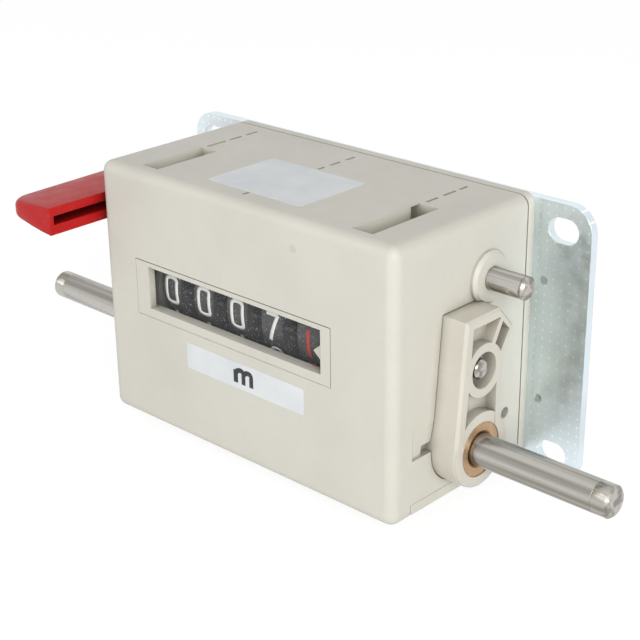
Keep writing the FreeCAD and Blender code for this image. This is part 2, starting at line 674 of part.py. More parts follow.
circle(stub_bearing, S + "stub_back", "%.6f" % STUB_AXIS[1], S + "stub_radius + " + S + "fit")
pocket(case, "stub_bearing", stub_bearing, "20", True)
bush_bore = new_sketch(case, "bush_bore_outline", "YZ_Plane", flange_start + " - 1")
circle(bush_bore, S + "shaft_back", S + "shaft_up", S + "bush_radius")
pocket(case, "bush_bore", bush_bore, "20", True)
place(case)
finish(case, "gear_case")

# Bearing plates: flat walls on the tray that carry the axles; the left one has a
# tube that reaches through the cover as the drive shaft's left bearing.
HALF = number(SIDE)


def bearing_plate(label, start, boss_length):
    body = new_body(label)
    sheet_face = new_sketch(body, label + "_outline", "YZ_Plane", start)
    back_edge = S + "cover_depth - " + S + "rear_rim"
    polygon(sheet_face, [("9", S + "tray_top"), (back_edge, S + "tray_top"), (back_edge, "52"),
                         ("25", "52"), ("12", "40"), ("9", "30")])
    pad(body, label + "_sheet", sheet_face, S + "plate_gauge")
    if boss_length:
        tube = new_sketch(body, label + "_tube_outline", "YZ_Plane", start + " + 1")
        circle(tube, S + "shaft_back", S + "shaft_up", S + "case_radius")
        pad(body, label + "_tube", tube, boss_length, True)
    hole_list = [(WHEEL_AXIS, S + "axle_radius"), (PINION_AXIS, S + "pinion_axle_radius"),
                 (RESET_AXIS, S + "reset_radius + 0.4"),
                 (SHAFT_AXIS, S + "bush_radius" if boss_length else S + "shaft_radius + 1")]
    for i, (axis, radius) in enumerate(hole_list):
        hole = new_sketch(body, "%s_hole_%d" % (label, i), "YZ_Plane")
        circle(hole, "%.6f" % axis[0], "%.6f" % axis[1], radius)
        pocket(body, "%s_bore_%d" % (label, i), hole, S + "cover_width + 20", False, True)
    place(body)
    return finish(body, label)


bearing_plate("left_bearing_plate", S + "left_plate",
              SIDE + " + " + S + "left_boss + " + S + "left_plate + 1")
bearing_plate("right_bearing_plate", S + "right_plate", None)

# Bronze bushes of the drive shaft, bell-mouthed outside.
bush_inner = size("shaft_radius") + size("fit")


def bush(label, inside, outside):
    mouth = 0.6 if outside > inside else -0.6
    turned(label, [(inside, bush_inner), (outside - mouth, bush_inner),
                   (outside, bush_inner + abs(mouth)), (outside, size("bush_radius")),
                   (inside, size("bush_radius"))], SHAFT_AXIS)


case_back = HALF - size("wall") - size("case_flange")
bush("right_bush", case_back, HALF + size("case_height") - size("bush_recess"))
bush("left_bush", size("left_plate") + size("plate_gauge"),
     -(HALF + size("left_boss") - size("bush_recess")))

# Fixed axles of the register, with a head on the left and a clip ring on the right.
axle_end = size("right_plate") + size("plate_gauge")
for label, radius, axis in (("wheel_axle", size("axle_radius"), WHEEL_AXIS),
                            ("pinion_axle", size("pinion_axle_radius"), PINION_AXIS)):
    turned(label, [(size("left_plate") - 1.2, 0), (axle_end + 1.3, 0),
                   (axle_end + 1.3, radius), (size("left_plate"), radius),
                   (size("left_plate"), radius + 1.2),
                   (size("left_plate") - 1.2, radius + 1.2)], axis)
    turned(label + "_clip", sleeve(axle_end, axle_end + 0.8, radius, radius + 1.1), axis)

# Number wheels.  Each has its printed rim, a locking disc on the left and, on the
# right, the 20 teeth that its carry pinion turns.
wheel_bore = size("axle_radius") + size("fit")
wheel_half = size("rim_width") / 2
disc_radius = 10.0
WHEEL_COUNT = 5
hub_left = -4.8
hub_right = 5.6
hub_radius = 4.0
for k in range(WHEEL_COUNT):
    label = "number_wheel_%d" % (k + 1)
    body = new_body(label)
    profile = new_sketch(body, label + "_profile", "XY_Plane")
    last = k == WHEEL_COUNT - 1
    hub = [] if last else [(hub_right, wheel_bore), (hub_right, hub_radius),
                           (wheel_half, hub_radius)]
    polygon(profile, [(hub_left, wheel_bore)] + (hub or [(wheel_half, wheel_bore)])
            + [(wheel_half, S + "wheel_radius"), (-wheel_half, S + "wheel_radius"),
               (-wheel_half, disc_radius), (hub_left, disc_radius)])
    revolve(body, label + "_turned", profile)
    if not last:
        gear_pad(body, label + "_gear", "%.3f" % (wheel_half - 0.1), "2.1",
                 size("carry_module"), int(size("carry_teeth")), 0.0, wheel_bore)
    place_on_axis(body, WHEEL_AXIS,
                  S + "first_wheel + %d * %swheel_pitch" % (k, S))
    finish(body, label)

# Spacer that keeps the first wheel off the left bearing plate.
turned("axle_spacer", sleeve(size("left_plate") + size("plate_gauge"),
                             size("first_wheel") + hub_left - 0.2,
                             size("axle_radius") + 0.02, 3.6), WHEEL_AXIS)

# Carry pinions: eight teeth over the gear of the wheel on their left, four of them
# running on over the locking disc of the wheel on their right.
pinion_bore = size("pinion_axle_radius") + size("fit")
pinion_teeth = int(size("pinion_teeth"))
pinion_phase = math.pi + math.pi / pinion_teeth
for k in range(WHEEL_COUNT - 1):
    label = "carry_pinion_%d" % (k + 1)
    body = new_body(label)
    gear_pad(body, label + "_all", "0", "2.0", size("carry_module"), pinion_teeth,
             pinion_phase, pinion_bore)
    gear_pad(body, label + "_half", "1.9", "1.9", size("carry_module"), pinion_teeth,
             pinion_phase, pinion_bore, 2)
    place_on_axis(body, PINION_AXIS,
                  S + "first_wheel + %d * %swheel_pitch + %.3f" % (k, S, wheel_half + 0.35))
    finish(body, label)

# Gear of the tenths wheel, on a long hub that butts against the wheel's side.
tenths_start = 26.0
drive_teeth = int(size("drive_teeth"))
tenths_teeth = int(size("tenths_teeth"))
wheel_direction = angle_to(SHAFT_AXIS, WHEEL_AXIS)
tenths_gear = new_body("tenths_wheel_gear")
hub_start = size("first_wheel") + (WHEEL_COUNT - 1) * size("wheel_pitch") + wheel_half
hub = new_sketch(tenths_gear, "tenths_hub_profile", "XY_Plane")
polygon(hub, sleeve(hub_start, tenths_start + size("gear_face") + 0.8, wheel_bore, hub_radius))
revolve(tenths_gear, "tenths_hub", hub)
gear_pad(tenths_gear, "tenths_teeth_pad", "%.3f" % tenths_start, S + "gear_face",
         size("drive_module"), tenths_teeth,
         wheel_direction + math.pi + math.pi / tenths_teeth, wheel_bore)
place_on_axis(tenths_gear, WHEEL_AXIS)
finish(tenths_gear, "tenths_wheel_gear")


def grooved_shaft(label, left, right, radius, bevel, grooves, axis):
    """A shaft with chamfered ends and shallow V-shaped oil grooves at its bearings."""
    top = [(left, radius - bevel), (left + bevel, radius)]
    for start, finish_at in grooves:
        top += [(start, radius), ((start + finish_at) / 2, radius - 0.3), (finish_at, radius)]
    top += [(right - bevel, radius), (right, radius - bevel)]
    return turned(label, [(right, 0), (left, 0)] + top, axis)


# Drive shaft, its two gears and its retaining rings.
case_face_x = HALF + size("case_height")
left_face_x = -HALF - size("left_boss")
grooved_shaft("drive_shaft", size("shaft_left"), size("shaft_right"), size("shaft_radius"),
              size("shaft_chamfer"), [(left_face_x - 0.05, left_face_x + 0.85),
                                      (case_face_x - 0.85, case_face_x + 0.05)], SHAFT_AXIS)


def shaft_gear(label, axis, start, module, teeth, phase, bore, hub_radius, hub_length):
    """A gear with a hub on one side, pressed on its shaft."""
    body = new_body(label)
    collar = new_sketch(body, label + "_hub_profile", "XY_Plane")
    low, high = sorted((start + 0.5, start + hub_length))
    polygon(collar, sleeve(low, high, bore, hub_radius))
    revolve(body, label + "_hub", collar)
    gear_pad(body, label + "_pad", "%.3f" % start, S + "gear_face", module, teeth, phase, bore)
    place_on_axis(body, axis)
    return finish(body, label)


change_start = 35.4
change_teeth = int(size("change_teeth"))
stub_direction = angle_to(SHAFT_AXIS, STUB_AXIS)
press_bore = size("shaft_radius") + 0.01
shaft_gear("drive_gear", SHAFT_AXIS, tenths_start, size("drive_module"), drive_teeth,
           wheel_direction, press_bore, 5.6, -2.5)
shaft_gear("change_gear", SHAFT_AXIS, change_start, size("change_module"), change_teeth,
           stub_direction, press_bore, 5.8, -1.6)
ring_right = case_back - 0.9
ring_left = size("left_plate") + size("plate_gauge") + 0.1
rings = []
for start in (ring_left, ring_right):
    ring = doc.addObject("Part::Cylinder", "ring_outer")
    ring.Radius = 5.2
    ring.Height = 0.8
    bore = doc.addObject("Part::Cylinder", "ring_bore")
    bore.Radius = press_bore
    bore.Height = 0.8
    cut_ring = doc.addObject("Part::Cut", "retaining_ring")
    cut_ring.Base = ring
    cut_ring.Tool = bore
    cut_ring.Placement = FreeCAD.Placement(FreeCAD.Vector(start, 0, 0),
                                           FreeCAD.Rotation(FreeCAD.Vector(0, 1, 0), 90))
    rings.append(cut_ring)
shaft_rings = doc.addObject("Part::Compound", "shaft_rings")
shaft_rings.Links = rings
place_on_axis(shaft_rings, SHAFT_AXIS)
finish(shaft_rings, "shaft_rings")

# Second shaft with its change gear; its chamfered end shows in the bore of the case.
stub_end = HALF + size("case_height") - size("stub_recess")
stub_radius = size("stub_radius")
turned("second_shaft", [(change_start - 0.8, 0), (stub_end, 0), (stub_end, stub_radius - 0.35),
                        (stub_end - 0.35, stub_radius), (change_start - 0.8, stub_radius)],
       STUB_AXIS)
shaft_gear("second_gear", STUB_AXIS, change_start, size("change_module"), change_teeth,
           stub_direction + math.pi + math.pi / change_teeth, stub_radius + 0.01, 3.6,
           size("gear_face") + 1.2)

# Reset shaft, chamfered on the right; the lever's hub sits on its left end.
reset_radius = size("reset_radius")
hub_outside = size("lever_side") - size("lever_width_hub")
collar_face_x = HALF + size("collar_height")
grooved_shaft("reset_shaft", hub_outside + 1.5, size("reset_right"), reset_radius, 0.5,
              [(collar_face_x - 0.8, collar_face_x + 0.05)], RESET_AXIS)

# Reset lever: moulded arm, thinner towards its outer edge, with a long slot in its side.
lever = new_body("reset_lever")
arm = new_sketch(lever, "arm_outline", "YZ_Plane", S + "lever_side")
rectangle(arm, S + "lever_tip", S + "reset_back", S + "lever_low", S + "lever_high")
pad(lever, "arm", arm, S + "lever_width_hub", True)
lever_hub = new_sketch(lever, "hub_outline", "YZ_Plane", S + "lever_side")
circle(lever_hub, S + "reset_back", S + "reset_up", "5.0")
pad(lever, "hub", lever_hub, S + "lever_width_hub", True)
outside = S + "lever_side - " + S + "lever_width_hub"
middle_height = "(" + S + "lever_low + " + S + "lever_high) / 2"
thin_half = 1.95
for name, sign in (("thin_top", 1), ("thin_bottom", -1)):
    slope = new_sketch(lever, name + "_outline", "XZ_Plane", "-24")
    edge_height = S + ("lever_high + 0.01" if sign > 0 else "lever_low - 0.01")
    polygon(slope, [(S + "lever_side - 0.5", edge_height), (outside + " - 2", edge_height),
                    (outside + " - 2", middle_height + " + %.3f" % (sign * thin_half))])
    pocket(lever, name, slope, "50", True)
flare = new_sketch(lever, "flare_outline", "XY_Plane", S + "lever_low - 5")
polygon(flare, [(S + "lever_side - " + S + "lever_width_tip", S + "lever_tip - 0.1"),
                (outside + " - 1", S + "lever_tip - 0.1"), (outside + " - 1", "22"),
                (outside, "22")])
pocket(lever, "flare", flare, "20", True)
tip_y = size("lever_tip")
fillet(lever, "tip_rounding",
       edges_where(lever, lambda b: b.YMax < tip_y + 0.6 and b.XLength < 1 and b.ZLength > 2
                   and b.XMax < size("lever_side") - 5), "3.0")
fillet(lever, "arm_rounding",
       edges_where(lever, lambda b: b.YMax < 24 and b.XMin < size("lever_side") - 0.1
                   and b.YMin < 21), "0.7")
slot = new_sketch(lever, "slot_outline", "YZ_Plane", S + "lever_side")
rectangle(slot, S + "lever_tip + 1.1", "20", S + "lever_low + 2.3", S + "lever_low + 4.4")
pocket(lever, "slot", slot, "3.5")
lever_bore = new_sketch(lever, "lever_bore_outline", "YZ_Plane", S + "lever_side")
circle(lever_bore, S + "reset_back", S + "reset_up", S + "reset_radius + 0.01")
pocket(lever, "lever_bore", lever_bore, S + "lever_width_hub - 1.5")
place(lever)
finish(lever, "reset_lever")

# Reset comb: one finger over the gap beside each number wheel.
comb_start = size("left_plate") + size("plate_gauge") + 6.5
comb = new_body("reset_comb")
core = new_sketch(comb, "comb_profile", "XY_Plane")
comb_end = size("first_wheel") + (WHEEL_COUNT - 1) * size("wheel_pitch") + 8
polygon(core, sleeve(comb_start, comb_end, reset_radius + 0.01, 3.7))
revolve(comb, "comb_core", core)
finger_direction = angle_to(RESET_AXIS, WHEEL_AXIS)
finger_reach = 5.0
finger_half = 1.1
for k in range(WHEEL_COUNT):
    finger_start = size("first_wheel") + k * size("wheel_pitch") + wheel_half + 1.2
    finger = new_sketch(comb, "finger_outline_%d" % (k + 1), "YZ_Plane", "%.3f" % finger_start)
    corners = []
    for along, aside in ((2.7, -1), (finger_reach, -1), (finger_reach, 1), (2.7, 1)):
        reach = FreeCAD.Vector(along, aside * finger_half, 0)
        corners.append((reach.x * math.cos(finger_direction) - reach.y * math.sin(finger_direction),
                        reach.x * math.sin(finger_direction) + reach.y * math.cos(finger_direction)))
    polygon(finger, corners)
    pad(comb, "finger_%d" % (k + 1), finger, "2.0")
place_on_axis(comb, RESET_AXIS)
finish(comb, "reset_comb")

# Return spring: a close-wound torsion spring round the reset shaft between the left
# plate and the comb, drawn as the sleeve that its turns fill.
spring_start = size("left_plate") + size("plate_gauge")
turned("return_spring", sleeve(spring_start, comb_start - 0.1, 3.05, 3.75), RESET_AXIS)

# Every object is tested before anything is written.
doc.recompute()
for item in doc.Objects:
    if "Invalid" in item.State or "Error" in item.State:
        raise RuntimeError("failed object: " + item.Name)
os.makedirs("parts", exist_ok=True)
for piece in parts:
    shape = piece.Shape
    if shape.isNull() or not shape.isValid() or not shape.Solids:
        raise RuntimeError("bad shape: " + piece.Label)
    shape.exportStep(os.path.join("parts", piece.Label + ".step"))
    print("%-22s %d solid(s) %9.1f mm3" % (piece.Label, len(shape.Solids), shape.Volume))
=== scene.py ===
import json
import math

import bpy
from mathutils import Matrix, Vector

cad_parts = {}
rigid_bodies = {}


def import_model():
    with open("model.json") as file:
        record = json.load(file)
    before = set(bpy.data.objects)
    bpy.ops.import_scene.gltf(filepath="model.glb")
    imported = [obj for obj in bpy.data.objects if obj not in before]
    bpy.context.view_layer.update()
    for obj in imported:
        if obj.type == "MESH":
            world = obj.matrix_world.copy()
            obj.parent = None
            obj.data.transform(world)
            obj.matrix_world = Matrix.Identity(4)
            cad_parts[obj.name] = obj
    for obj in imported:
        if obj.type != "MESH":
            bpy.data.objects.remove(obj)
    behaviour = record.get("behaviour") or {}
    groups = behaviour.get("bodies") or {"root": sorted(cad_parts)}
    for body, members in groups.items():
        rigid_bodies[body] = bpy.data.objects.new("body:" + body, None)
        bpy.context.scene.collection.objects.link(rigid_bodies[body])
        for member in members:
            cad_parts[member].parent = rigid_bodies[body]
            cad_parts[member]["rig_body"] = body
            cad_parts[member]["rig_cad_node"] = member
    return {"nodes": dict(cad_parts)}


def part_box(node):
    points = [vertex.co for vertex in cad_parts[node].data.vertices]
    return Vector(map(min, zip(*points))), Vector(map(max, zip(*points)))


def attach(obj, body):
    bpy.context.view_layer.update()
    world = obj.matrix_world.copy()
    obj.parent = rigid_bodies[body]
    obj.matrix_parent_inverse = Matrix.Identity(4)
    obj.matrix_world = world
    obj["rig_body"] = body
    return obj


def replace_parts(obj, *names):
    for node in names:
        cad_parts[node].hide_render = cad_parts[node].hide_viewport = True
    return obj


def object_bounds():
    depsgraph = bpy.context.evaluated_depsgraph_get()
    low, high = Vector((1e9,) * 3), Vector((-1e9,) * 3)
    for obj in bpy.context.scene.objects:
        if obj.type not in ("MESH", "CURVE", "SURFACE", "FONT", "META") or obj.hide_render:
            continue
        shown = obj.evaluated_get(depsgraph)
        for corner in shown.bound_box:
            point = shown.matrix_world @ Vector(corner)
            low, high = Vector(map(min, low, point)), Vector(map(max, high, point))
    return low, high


# A mechanical cable length counter.  Number wheels turn behind a window in a moulded
# cover, a steel shaft runs right through, and a zinc-plated plate carries the whole.
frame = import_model()
nodes = frame["nodes"]
bpy.ops.object.select_all(action="DESELECT")
cad_low, cad_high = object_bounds()
MM = 0.001

# View: from the right and a little above, as a long lens on a studio camera sees it.
CAMERA_PLACE = (0.21542, -0.24737, 0.13152)
TURNED_LEFT = math.radians(43.48)
LOOKING_DOWN = math.radians(23.28)
LEANING = math.radians(-0.70)
scene = bpy.context.scene
camera_data = bpy.data.cameras.new("camera")
camera_data.sensor_width = 36.0
camera_data.lens = 83.84
camera_data.clip_start = 0.01
camera = bpy.data.objects.new("camera", camera_data)
scene.collection.objects.link(camera)
camera.matrix_world = (Matrix.Translation(CAMERA_PLACE)
                       @ Matrix.Rotation(TURNED_LEFT, 4, "Z")
                       @ Matrix.Rotation(math.pi / 2 - LOOKING_DOWN, 4, "X")
                       @ Matrix.Rotation(LEANING, 4, "Z"))
scene.camera = camera
scene.view_settings.view_transform = "Standard"


# Studio: a white room with a large soft lamp near the camera and a weaker one on the left.
# The pale floor keeps the shadow, and its underside lets the eye through.
def add_node(tree, kind, **settings):
    """Add a node of a kind to a shader tree, with its settings."""
    node = tree.nodes.new(kind)
    for setting, value in settings.items():
        setattr(node, setting, value)
    return node


def white_to_the_eye(tree, plain, white):
    """Show one shader to light and another to the eye, to gloss and through glass."""
    path = add_node(tree, "ShaderNodeLightPath")
    eye_or_gloss = add_node(tree, "ShaderNodeMath", operation="MAXIMUM")
    or_glass = add_node(tree, "ShaderNodeMath", operation="MAXIMUM")
    mix = add_node(tree, "ShaderNodeMixShader")
    tree.links.new(path.outputs["Is Camera Ray"], eye_or_gloss.inputs[0])
    tree.links.new(path.outputs["Is Glossy Ray"], eye_or_gloss.inputs[1])
    tree.links.new(eye_or_gloss.outputs[0], or_glass.inputs[0])
    tree.links.new(path.outputs["Is Transmission Ray"], or_glass.inputs[1])
    tree.links.new(or_glass.outputs[0], mix.inputs["Fac"])
    tree.links.new(plain, mix.inputs[1])
    tree.links.new(white, mix.inputs[2])
    return mix.outputs[0]


WHITE = (1.0, 1.0, 1.0, 1.0)
ROOM_LIGHT = 0.45
world = bpy.data.worlds.new("white_room")
world.use_nodes = True
scene.world = world
room = world.node_tree
daylight = room.nodes["Background"]
daylight.inputs["Color"].default_value = WHITE
daylight.inputs["Strength"].default_value = ROOM_LIGHT
backdrop = add_node(room, "ShaderNodeBackground")
backdrop.inputs["Color"].default_value = WHITE
backdrop.inputs["Strength"].default_value = 1.0
room.links.new(white_to_the_eye(room, daylight.outputs[0], backdrop.outputs[0]),
               room.nodes["World Output"].inputs["Surface"])

for name, spot, across, watts in (("soft_lamp_right", (0.62, -0.50, 0.30), 0.45, 4.6),
                                  ("soft_lamp_left", (-0.45, -0.65, 0.45), 0.5, 1.3)):
    lamp_data = bpy.data.lights.new(name, "AREA")
    lamp_data.size = across
    lamp_data.energy = watts
    lamp = bpy.data.objects.new(name, lamp_data)
    lamp.location = spot
    lamp.rotation_euler = (-Vector(spot)).to_track_quat("-Z", "Y").to_euler()
    scene.collection.objects.link(lamp)

FLOOR_WIDE = 6
FLOOR_GAP = 0.2 * MM
FLOOR_GLOW = 0.88
bpy.ops.mesh.primitive_plane_add(size=FLOOR_WIDE, location=(0, 0, cad_low.z - FLOOR_GAP))
floor = bpy.context.object
floor.name = "floor"
floor_paint = bpy.data.materials.new("floor_white")
floor_paint.use_nodes = True
paint = floor_paint.node_tree
paint_shader = paint.nodes["Principled BSDF"]
paint_shader.inputs["Base Color"].default_value = (0.82, 0.82, 0.82, 1)
paint_shader.inputs["Roughness"].default_value = 0.9
shadow_catch = add_node(paint, "ShaderNodeBsdfDiffuse")
shadow_catch.inputs["Color"].default_value = (0.20, 0.20, 0.20, 1)
glow = add_node(paint, "ShaderNodeEmission")
glow.inputs["Strength"].default_value = FLOOR_GLOW
glow_and_shadow = add_node(paint, "ShaderNodeAddShader")
facing = add_node(paint, "ShaderNodeNewGeometry")
through = add_node(paint, "ShaderNodeBsdfTransparent")
two_sided = add_node(paint, "ShaderNodeMixShader")
paint.links.new(shadow_catch.outputs[0], glow_and_shadow.inputs[0])
paint.links.new(glow.outputs[0], glow_and_shadow.inputs[1])
paint.links.new(facing.outputs["Backfacing"], two_sided.inputs["Fac"])
paint.links.new(white_to_the_eye(paint, paint_shader.outputs[0], glow_and_shadow.outputs[0]),
                two_sided.inputs[1])
paint.links.new(through.outputs[0], two_sided.inputs[2])
paint.links.new(two_sided.outputs[0], paint.nodes["Material Output"].inputs["Surface"])
floor.data.materials.append(floor_paint)


# Mounting plate: stamped sheet steel, zinc-plated and blue passivated.  A waffle die has
# flattened it and left fine dents two millimetres apart; two locating marks stand each side.
def seen(red, green, blue):
    """A colour as a picture shows it, 0 to 255, in the shader's linear values."""
    values = []
    for value in (red, green, blue):
        value /= 255
        values.append(value / 12.92 if value <= 0.04045 else ((value + 0.055) / 1.055) ** 2.4)
    return (*values, 1.0)


def new_finish(name, colour, roughness, metallic=0.0, edge=0.15 * MM):
    """A material with its plain values, and edges that catch light as if broken."""
    finish = bpy.data.materials.new(name)
    finish.use_nodes = True
    shader = finish.node_tree.nodes["Principled BSDF"]
    shader.inputs["Base Color"].default_value = colour
    shader.inputs["Roughness"].default_value = roughness
    shader.inputs["Metallic"].default_value = metallic
    if edge:
        soft = add_node(finish.node_tree, "ShaderNodeBevel", samples=6)
        soft.inputs["Radius"].default_value = edge
        finish.node_tree.links.new(soft.outputs[0], shader.inputs["Normal"])
    return finish


def place_on(finish):
    """Where a point of the surface is, in metres."""
    return add_node(finish.node_tree, "ShaderNodeTexCoord").outputs["Object"]


def noise(finish, size, stretch=(1, 1, 1), detail=3.0):
    """Cloudy values over the piece; size is the width of one cloud in metres."""
    tree = finish.node_tree
    fit = add_node(tree, "ShaderNodeMapping")
    fit.inputs["Scale"].default_value = stretch
    cloud = add_node(tree, "ShaderNodeTexNoise")
    cloud.inputs["Scale"].default_value = 1 / size
    cloud.inputs["Detail"].default_value = detail
    tree.links.new(place_on(finish), fit.inputs["Vector"])
    tree.links.new(fit.outputs[0], cloud.inputs["Vector"])
    return cloud.outputs["Fac"]


def distance_from(finish, spot, place):
    """How far each place is from a spot."""
    away = add_node(finish.node_tree, "ShaderNodeVectorMath", operation="DISTANCE")
    away.inputs[1].default_value = spot
    finish.node_tree.links.new(place, away.inputs[0])
    return away.outputs["Value"]


def spread(finish, value, low, high, start=0.35, end=0.65):
    """Stretch a pattern's values from start..end to low..high."""
    span = add_node(finish.node_tree, "ShaderNodeMapRange")
    for name, number in (("From Min", start), ("From Max", end), ("To Min", low),
                         ("To Max", high)):
        span.inputs[name].default_value = number
    finish.node_tree.links.new(value, span.inputs["Value"])
    return span.outputs[0]


def tint(finish, value, colour, start=0.35, end=0.65, share=1.0):
    """Blend another colour over what the finish has, where the pattern is high."""
    tree = finish.node_tree
    base = tree.nodes["Principled BSDF"].inputs["Base Color"]
    mix = add_node(tree, "ShaderNodeMix", data_type="RGBA")
    if base.is_linked:
        tree.links.new(base.links[0].from_socket, mix.inputs["A"])
    else:
        mix.inputs["A"].default_value = base.default_value
    mix.inputs["B"].default_value = colour
    tree.links.new(spread(finish, value, 0.0, share, start, end), mix.inputs["Factor"])
    tree.links.new(mix.outputs["Result"], base)


def sheen(finish, value, low, high, start=0.35, end=0.65):
    """Let the roughness follow a pattern."""
    finish.node_tree.links.new(spread(finish, value, low, high, start, end),
                               finish.node_tree.nodes["Principled BSDF"].inputs["Roughness"])


def relief(finish, value, depth, strength=1.0):
    """Raise the surface by a pattern, over the relief that the finish has."""
    tree = finish.node_tree
    normal = tree.nodes["Principled BSDF"].inputs["Normal"]
    bump = add_node(tree, "ShaderNodeBump")
    bump.inputs["Distance"].default_value = depth
    bump.inputs["Strength"].default_value = strength
    tree.links.new(value, bump.inputs["Height"])
    if normal.is_linked:
        tree.links.new(normal.links[0].from_socket, bump.inputs["Normal"])
    tree.links.new(bump.outputs[0], normal)


def dress(name, finish):
    """Give a node its finish."""
    mesh = nodes[name].data
    mesh.materials.clear()
    mesh.materials.append(finish)


DENT_PITCH = 2.03 * MM
FIRST_DENT = Vector((58.68 * MM, 20.9 * MM, 0))
MARK_SPOT = (48.2 * MM, 0, 13.9 * MM)
zinc = new_finish("zinc_plate", seen(228, 240, 246), 0.36, 1.0, 0.2 * MM)
tint(zinc, noise(zinc, 14 * MM, detail=2.0), seen(214, 226, 230), 0.45, 0.75)
tint(zinc, noise(zinc, 5 * MM, (1, 1, 0.35)), seen(228, 234, 232), 0.5, 0.8, 0.5)
sheen(zinc, noise(zinc, 3 * MM), 0.30, 0.42)
relief(zinc, noise(zinc, 0.5 * MM), 0.01 * MM, 0.4)

plating = zinc.node_tree
plate_place = place_on(zinc)
apart = add_node(plating, "ShaderNodeSeparateXYZ")
face_on = add_node(plating, "ShaderNodeCombineXYZ")
dent_grid = add_node(plating, "ShaderNodeMapping")
dent_grid.inputs["Location"].default_value = -FIRST_DENT / DENT_PITCH
dent_grid.inputs["Scale"].default_value = (1 / DENT_PITCH, 1 / DENT_PITCH, 1)
dents = add_node(plating, "ShaderNodeTexVoronoi", voronoi_dimensions="2D")
dents.inputs["Scale"].default_value = 1.0
dents.inputs["Randomness"].default_value = 0.0
plating.links.new(plate_place, apart.inputs[0])
plating.links.new(apart.outputs["X"], face_on.inputs["X"])
plating.links.new(apart.outputs["Z"], face_on.inputs["Y"])
plating.links.new(face_on.outputs[0], dent_grid.inputs["Vector"])
plating.links.new(dent_grid.outputs[0], dents.inputs["Vector"])
# Painted highlight: each dent is lightened nearly to white, a glint that its hollow would catch.
tint(zinc, dents.outputs["Distance"], seen(252, 254, 255), 0.15, 0.09, 0.95)
relief(zinc, spread(zinc, dents.outputs["Distance"], 0.0, 1.0, 0.05, 0.2), 0.03 * MM, 0.6)

mirrored = add_node(plating, "ShaderNodeVectorMath", operation="ABSOLUTE")
flattened = add_node(plating, "ShaderNodeVectorMath", operation="MULTIPLY")
flattened.inputs[1].default_value = (1, 0, 1)
plating.links.new(plate_place, mirrored.inputs[0])
plating.links.new(mirrored.outputs[0], flattened.inputs[0])
to_mark = distance_from(zinc, MARK_SPOT, flattened.outputs[0])
tint(zinc, to_mark, seen(120, 128, 126), 1.15 * MM, 0.75 * MM, 0.5)
relief(zinc, spread(zinc, to_mark, 0.0, 1.0, 0.5 * MM, 1.1 * MM), 0.25 * MM)
dress("mounting_plate", zinc)

# Plate screws: countersunk steel screws with a cross recess, driven in from behind, their
# heads flush with the back of the plate.
steel_plain = new_finish("plain_steel", seen(170, 171, 172), 0.38, 1.0)
tint(steel_plain, noise(steel_plain, 2 * MM), seen(130, 130, 130), 0.45, 0.7, 0.6)
sheen(steel_plain, noise(steel_plain, 0.8 * MM), 0.3, 0.5)
SCREW_RADIUS = 1.5 * MM
HEAD_RADIUS = 2.8 * MM
HEAD_DEEP = HEAD_RADIUS - SCREW_RADIUS
HEAD_FACE = -HEAD_DEEP / 2
SCREW_LONG = 7.5 * MM
POINT_LONG = 1.2 * MM
POINT_THIN = 0.35
RECESS_WIDE = 0.62 * MM
RECESS_LONG = 3.4 * MM
RECESS_DEEP = 0.9 * MM
RECESS_NARROWS = 0.45
SCREW_TURN = 0.5
SCREW_SPOTS = [(x * MM, z * MM) for x in (-23.8, 26.2) for z in (-20.0, 23.0)]


def work_on(piece):
    """Select one piece alone and make it the active one."""
    bpy.ops.object.select_all(action="DESELECT")
    piece.select_set(True)
    bpy.context.view_layer.objects.active = piece


def block(name, low, high):
    """A box between two corners, ready to be shaped."""
    bpy.ops.object.select_all(action="DESELECT")
    bpy.ops.mesh.primitive_cube_add(size=1, location=(Vector(low) + Vector(high)) / 2)
    piece = bpy.context.object
    piece.name = name
    piece.dimensions = Vector(high) - Vector(low)
    bpy.ops.object.transform_apply(location=True, rotation=True, scale=True)
    return piece


def pick(piece, kind, wanted):
    """Select the vertices, edges or faces of a piece that a test picks out, and edit it."""
    bpy.ops.object.mode_set(mode="EDIT")
    bpy.ops.mesh.select_mode(type=kind)
    bpy.ops.mesh.select_all(action="DESELECT")
    bpy.ops.object.mode_set(mode="OBJECT")
    mesh = piece.data
    for part in {"VERT": mesh.vertices, "EDGE": mesh.edges, "FACE": mesh.polygons}[kind]:
        part.select = wanted(part)
    bpy.ops.object.mode_set(mode="EDIT")


def on_top(face):
    return face.normal.z > 0.9


def combine(piece, other, operation):
    """Join or cut a piece with another one, which is used up."""
    join = piece.modifiers.new("join", "BOOLEAN")
    join.operation = operation
    join.object = other
    work_on(piece)
    bpy.ops.object.modifier_apply(modifier="join")
    bpy.data.objects.remove(other)


def in_place(piece, finish, body):
    """Settle a finished piece at the origin, give it its finish and its body."""
    work_on(piece)
    bpy.ops.object.transform_apply(location=True, rotation=True, scale=True)
    piece.data.materials.clear()
    piece.data.materials.append(finish)
    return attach(piece, body)


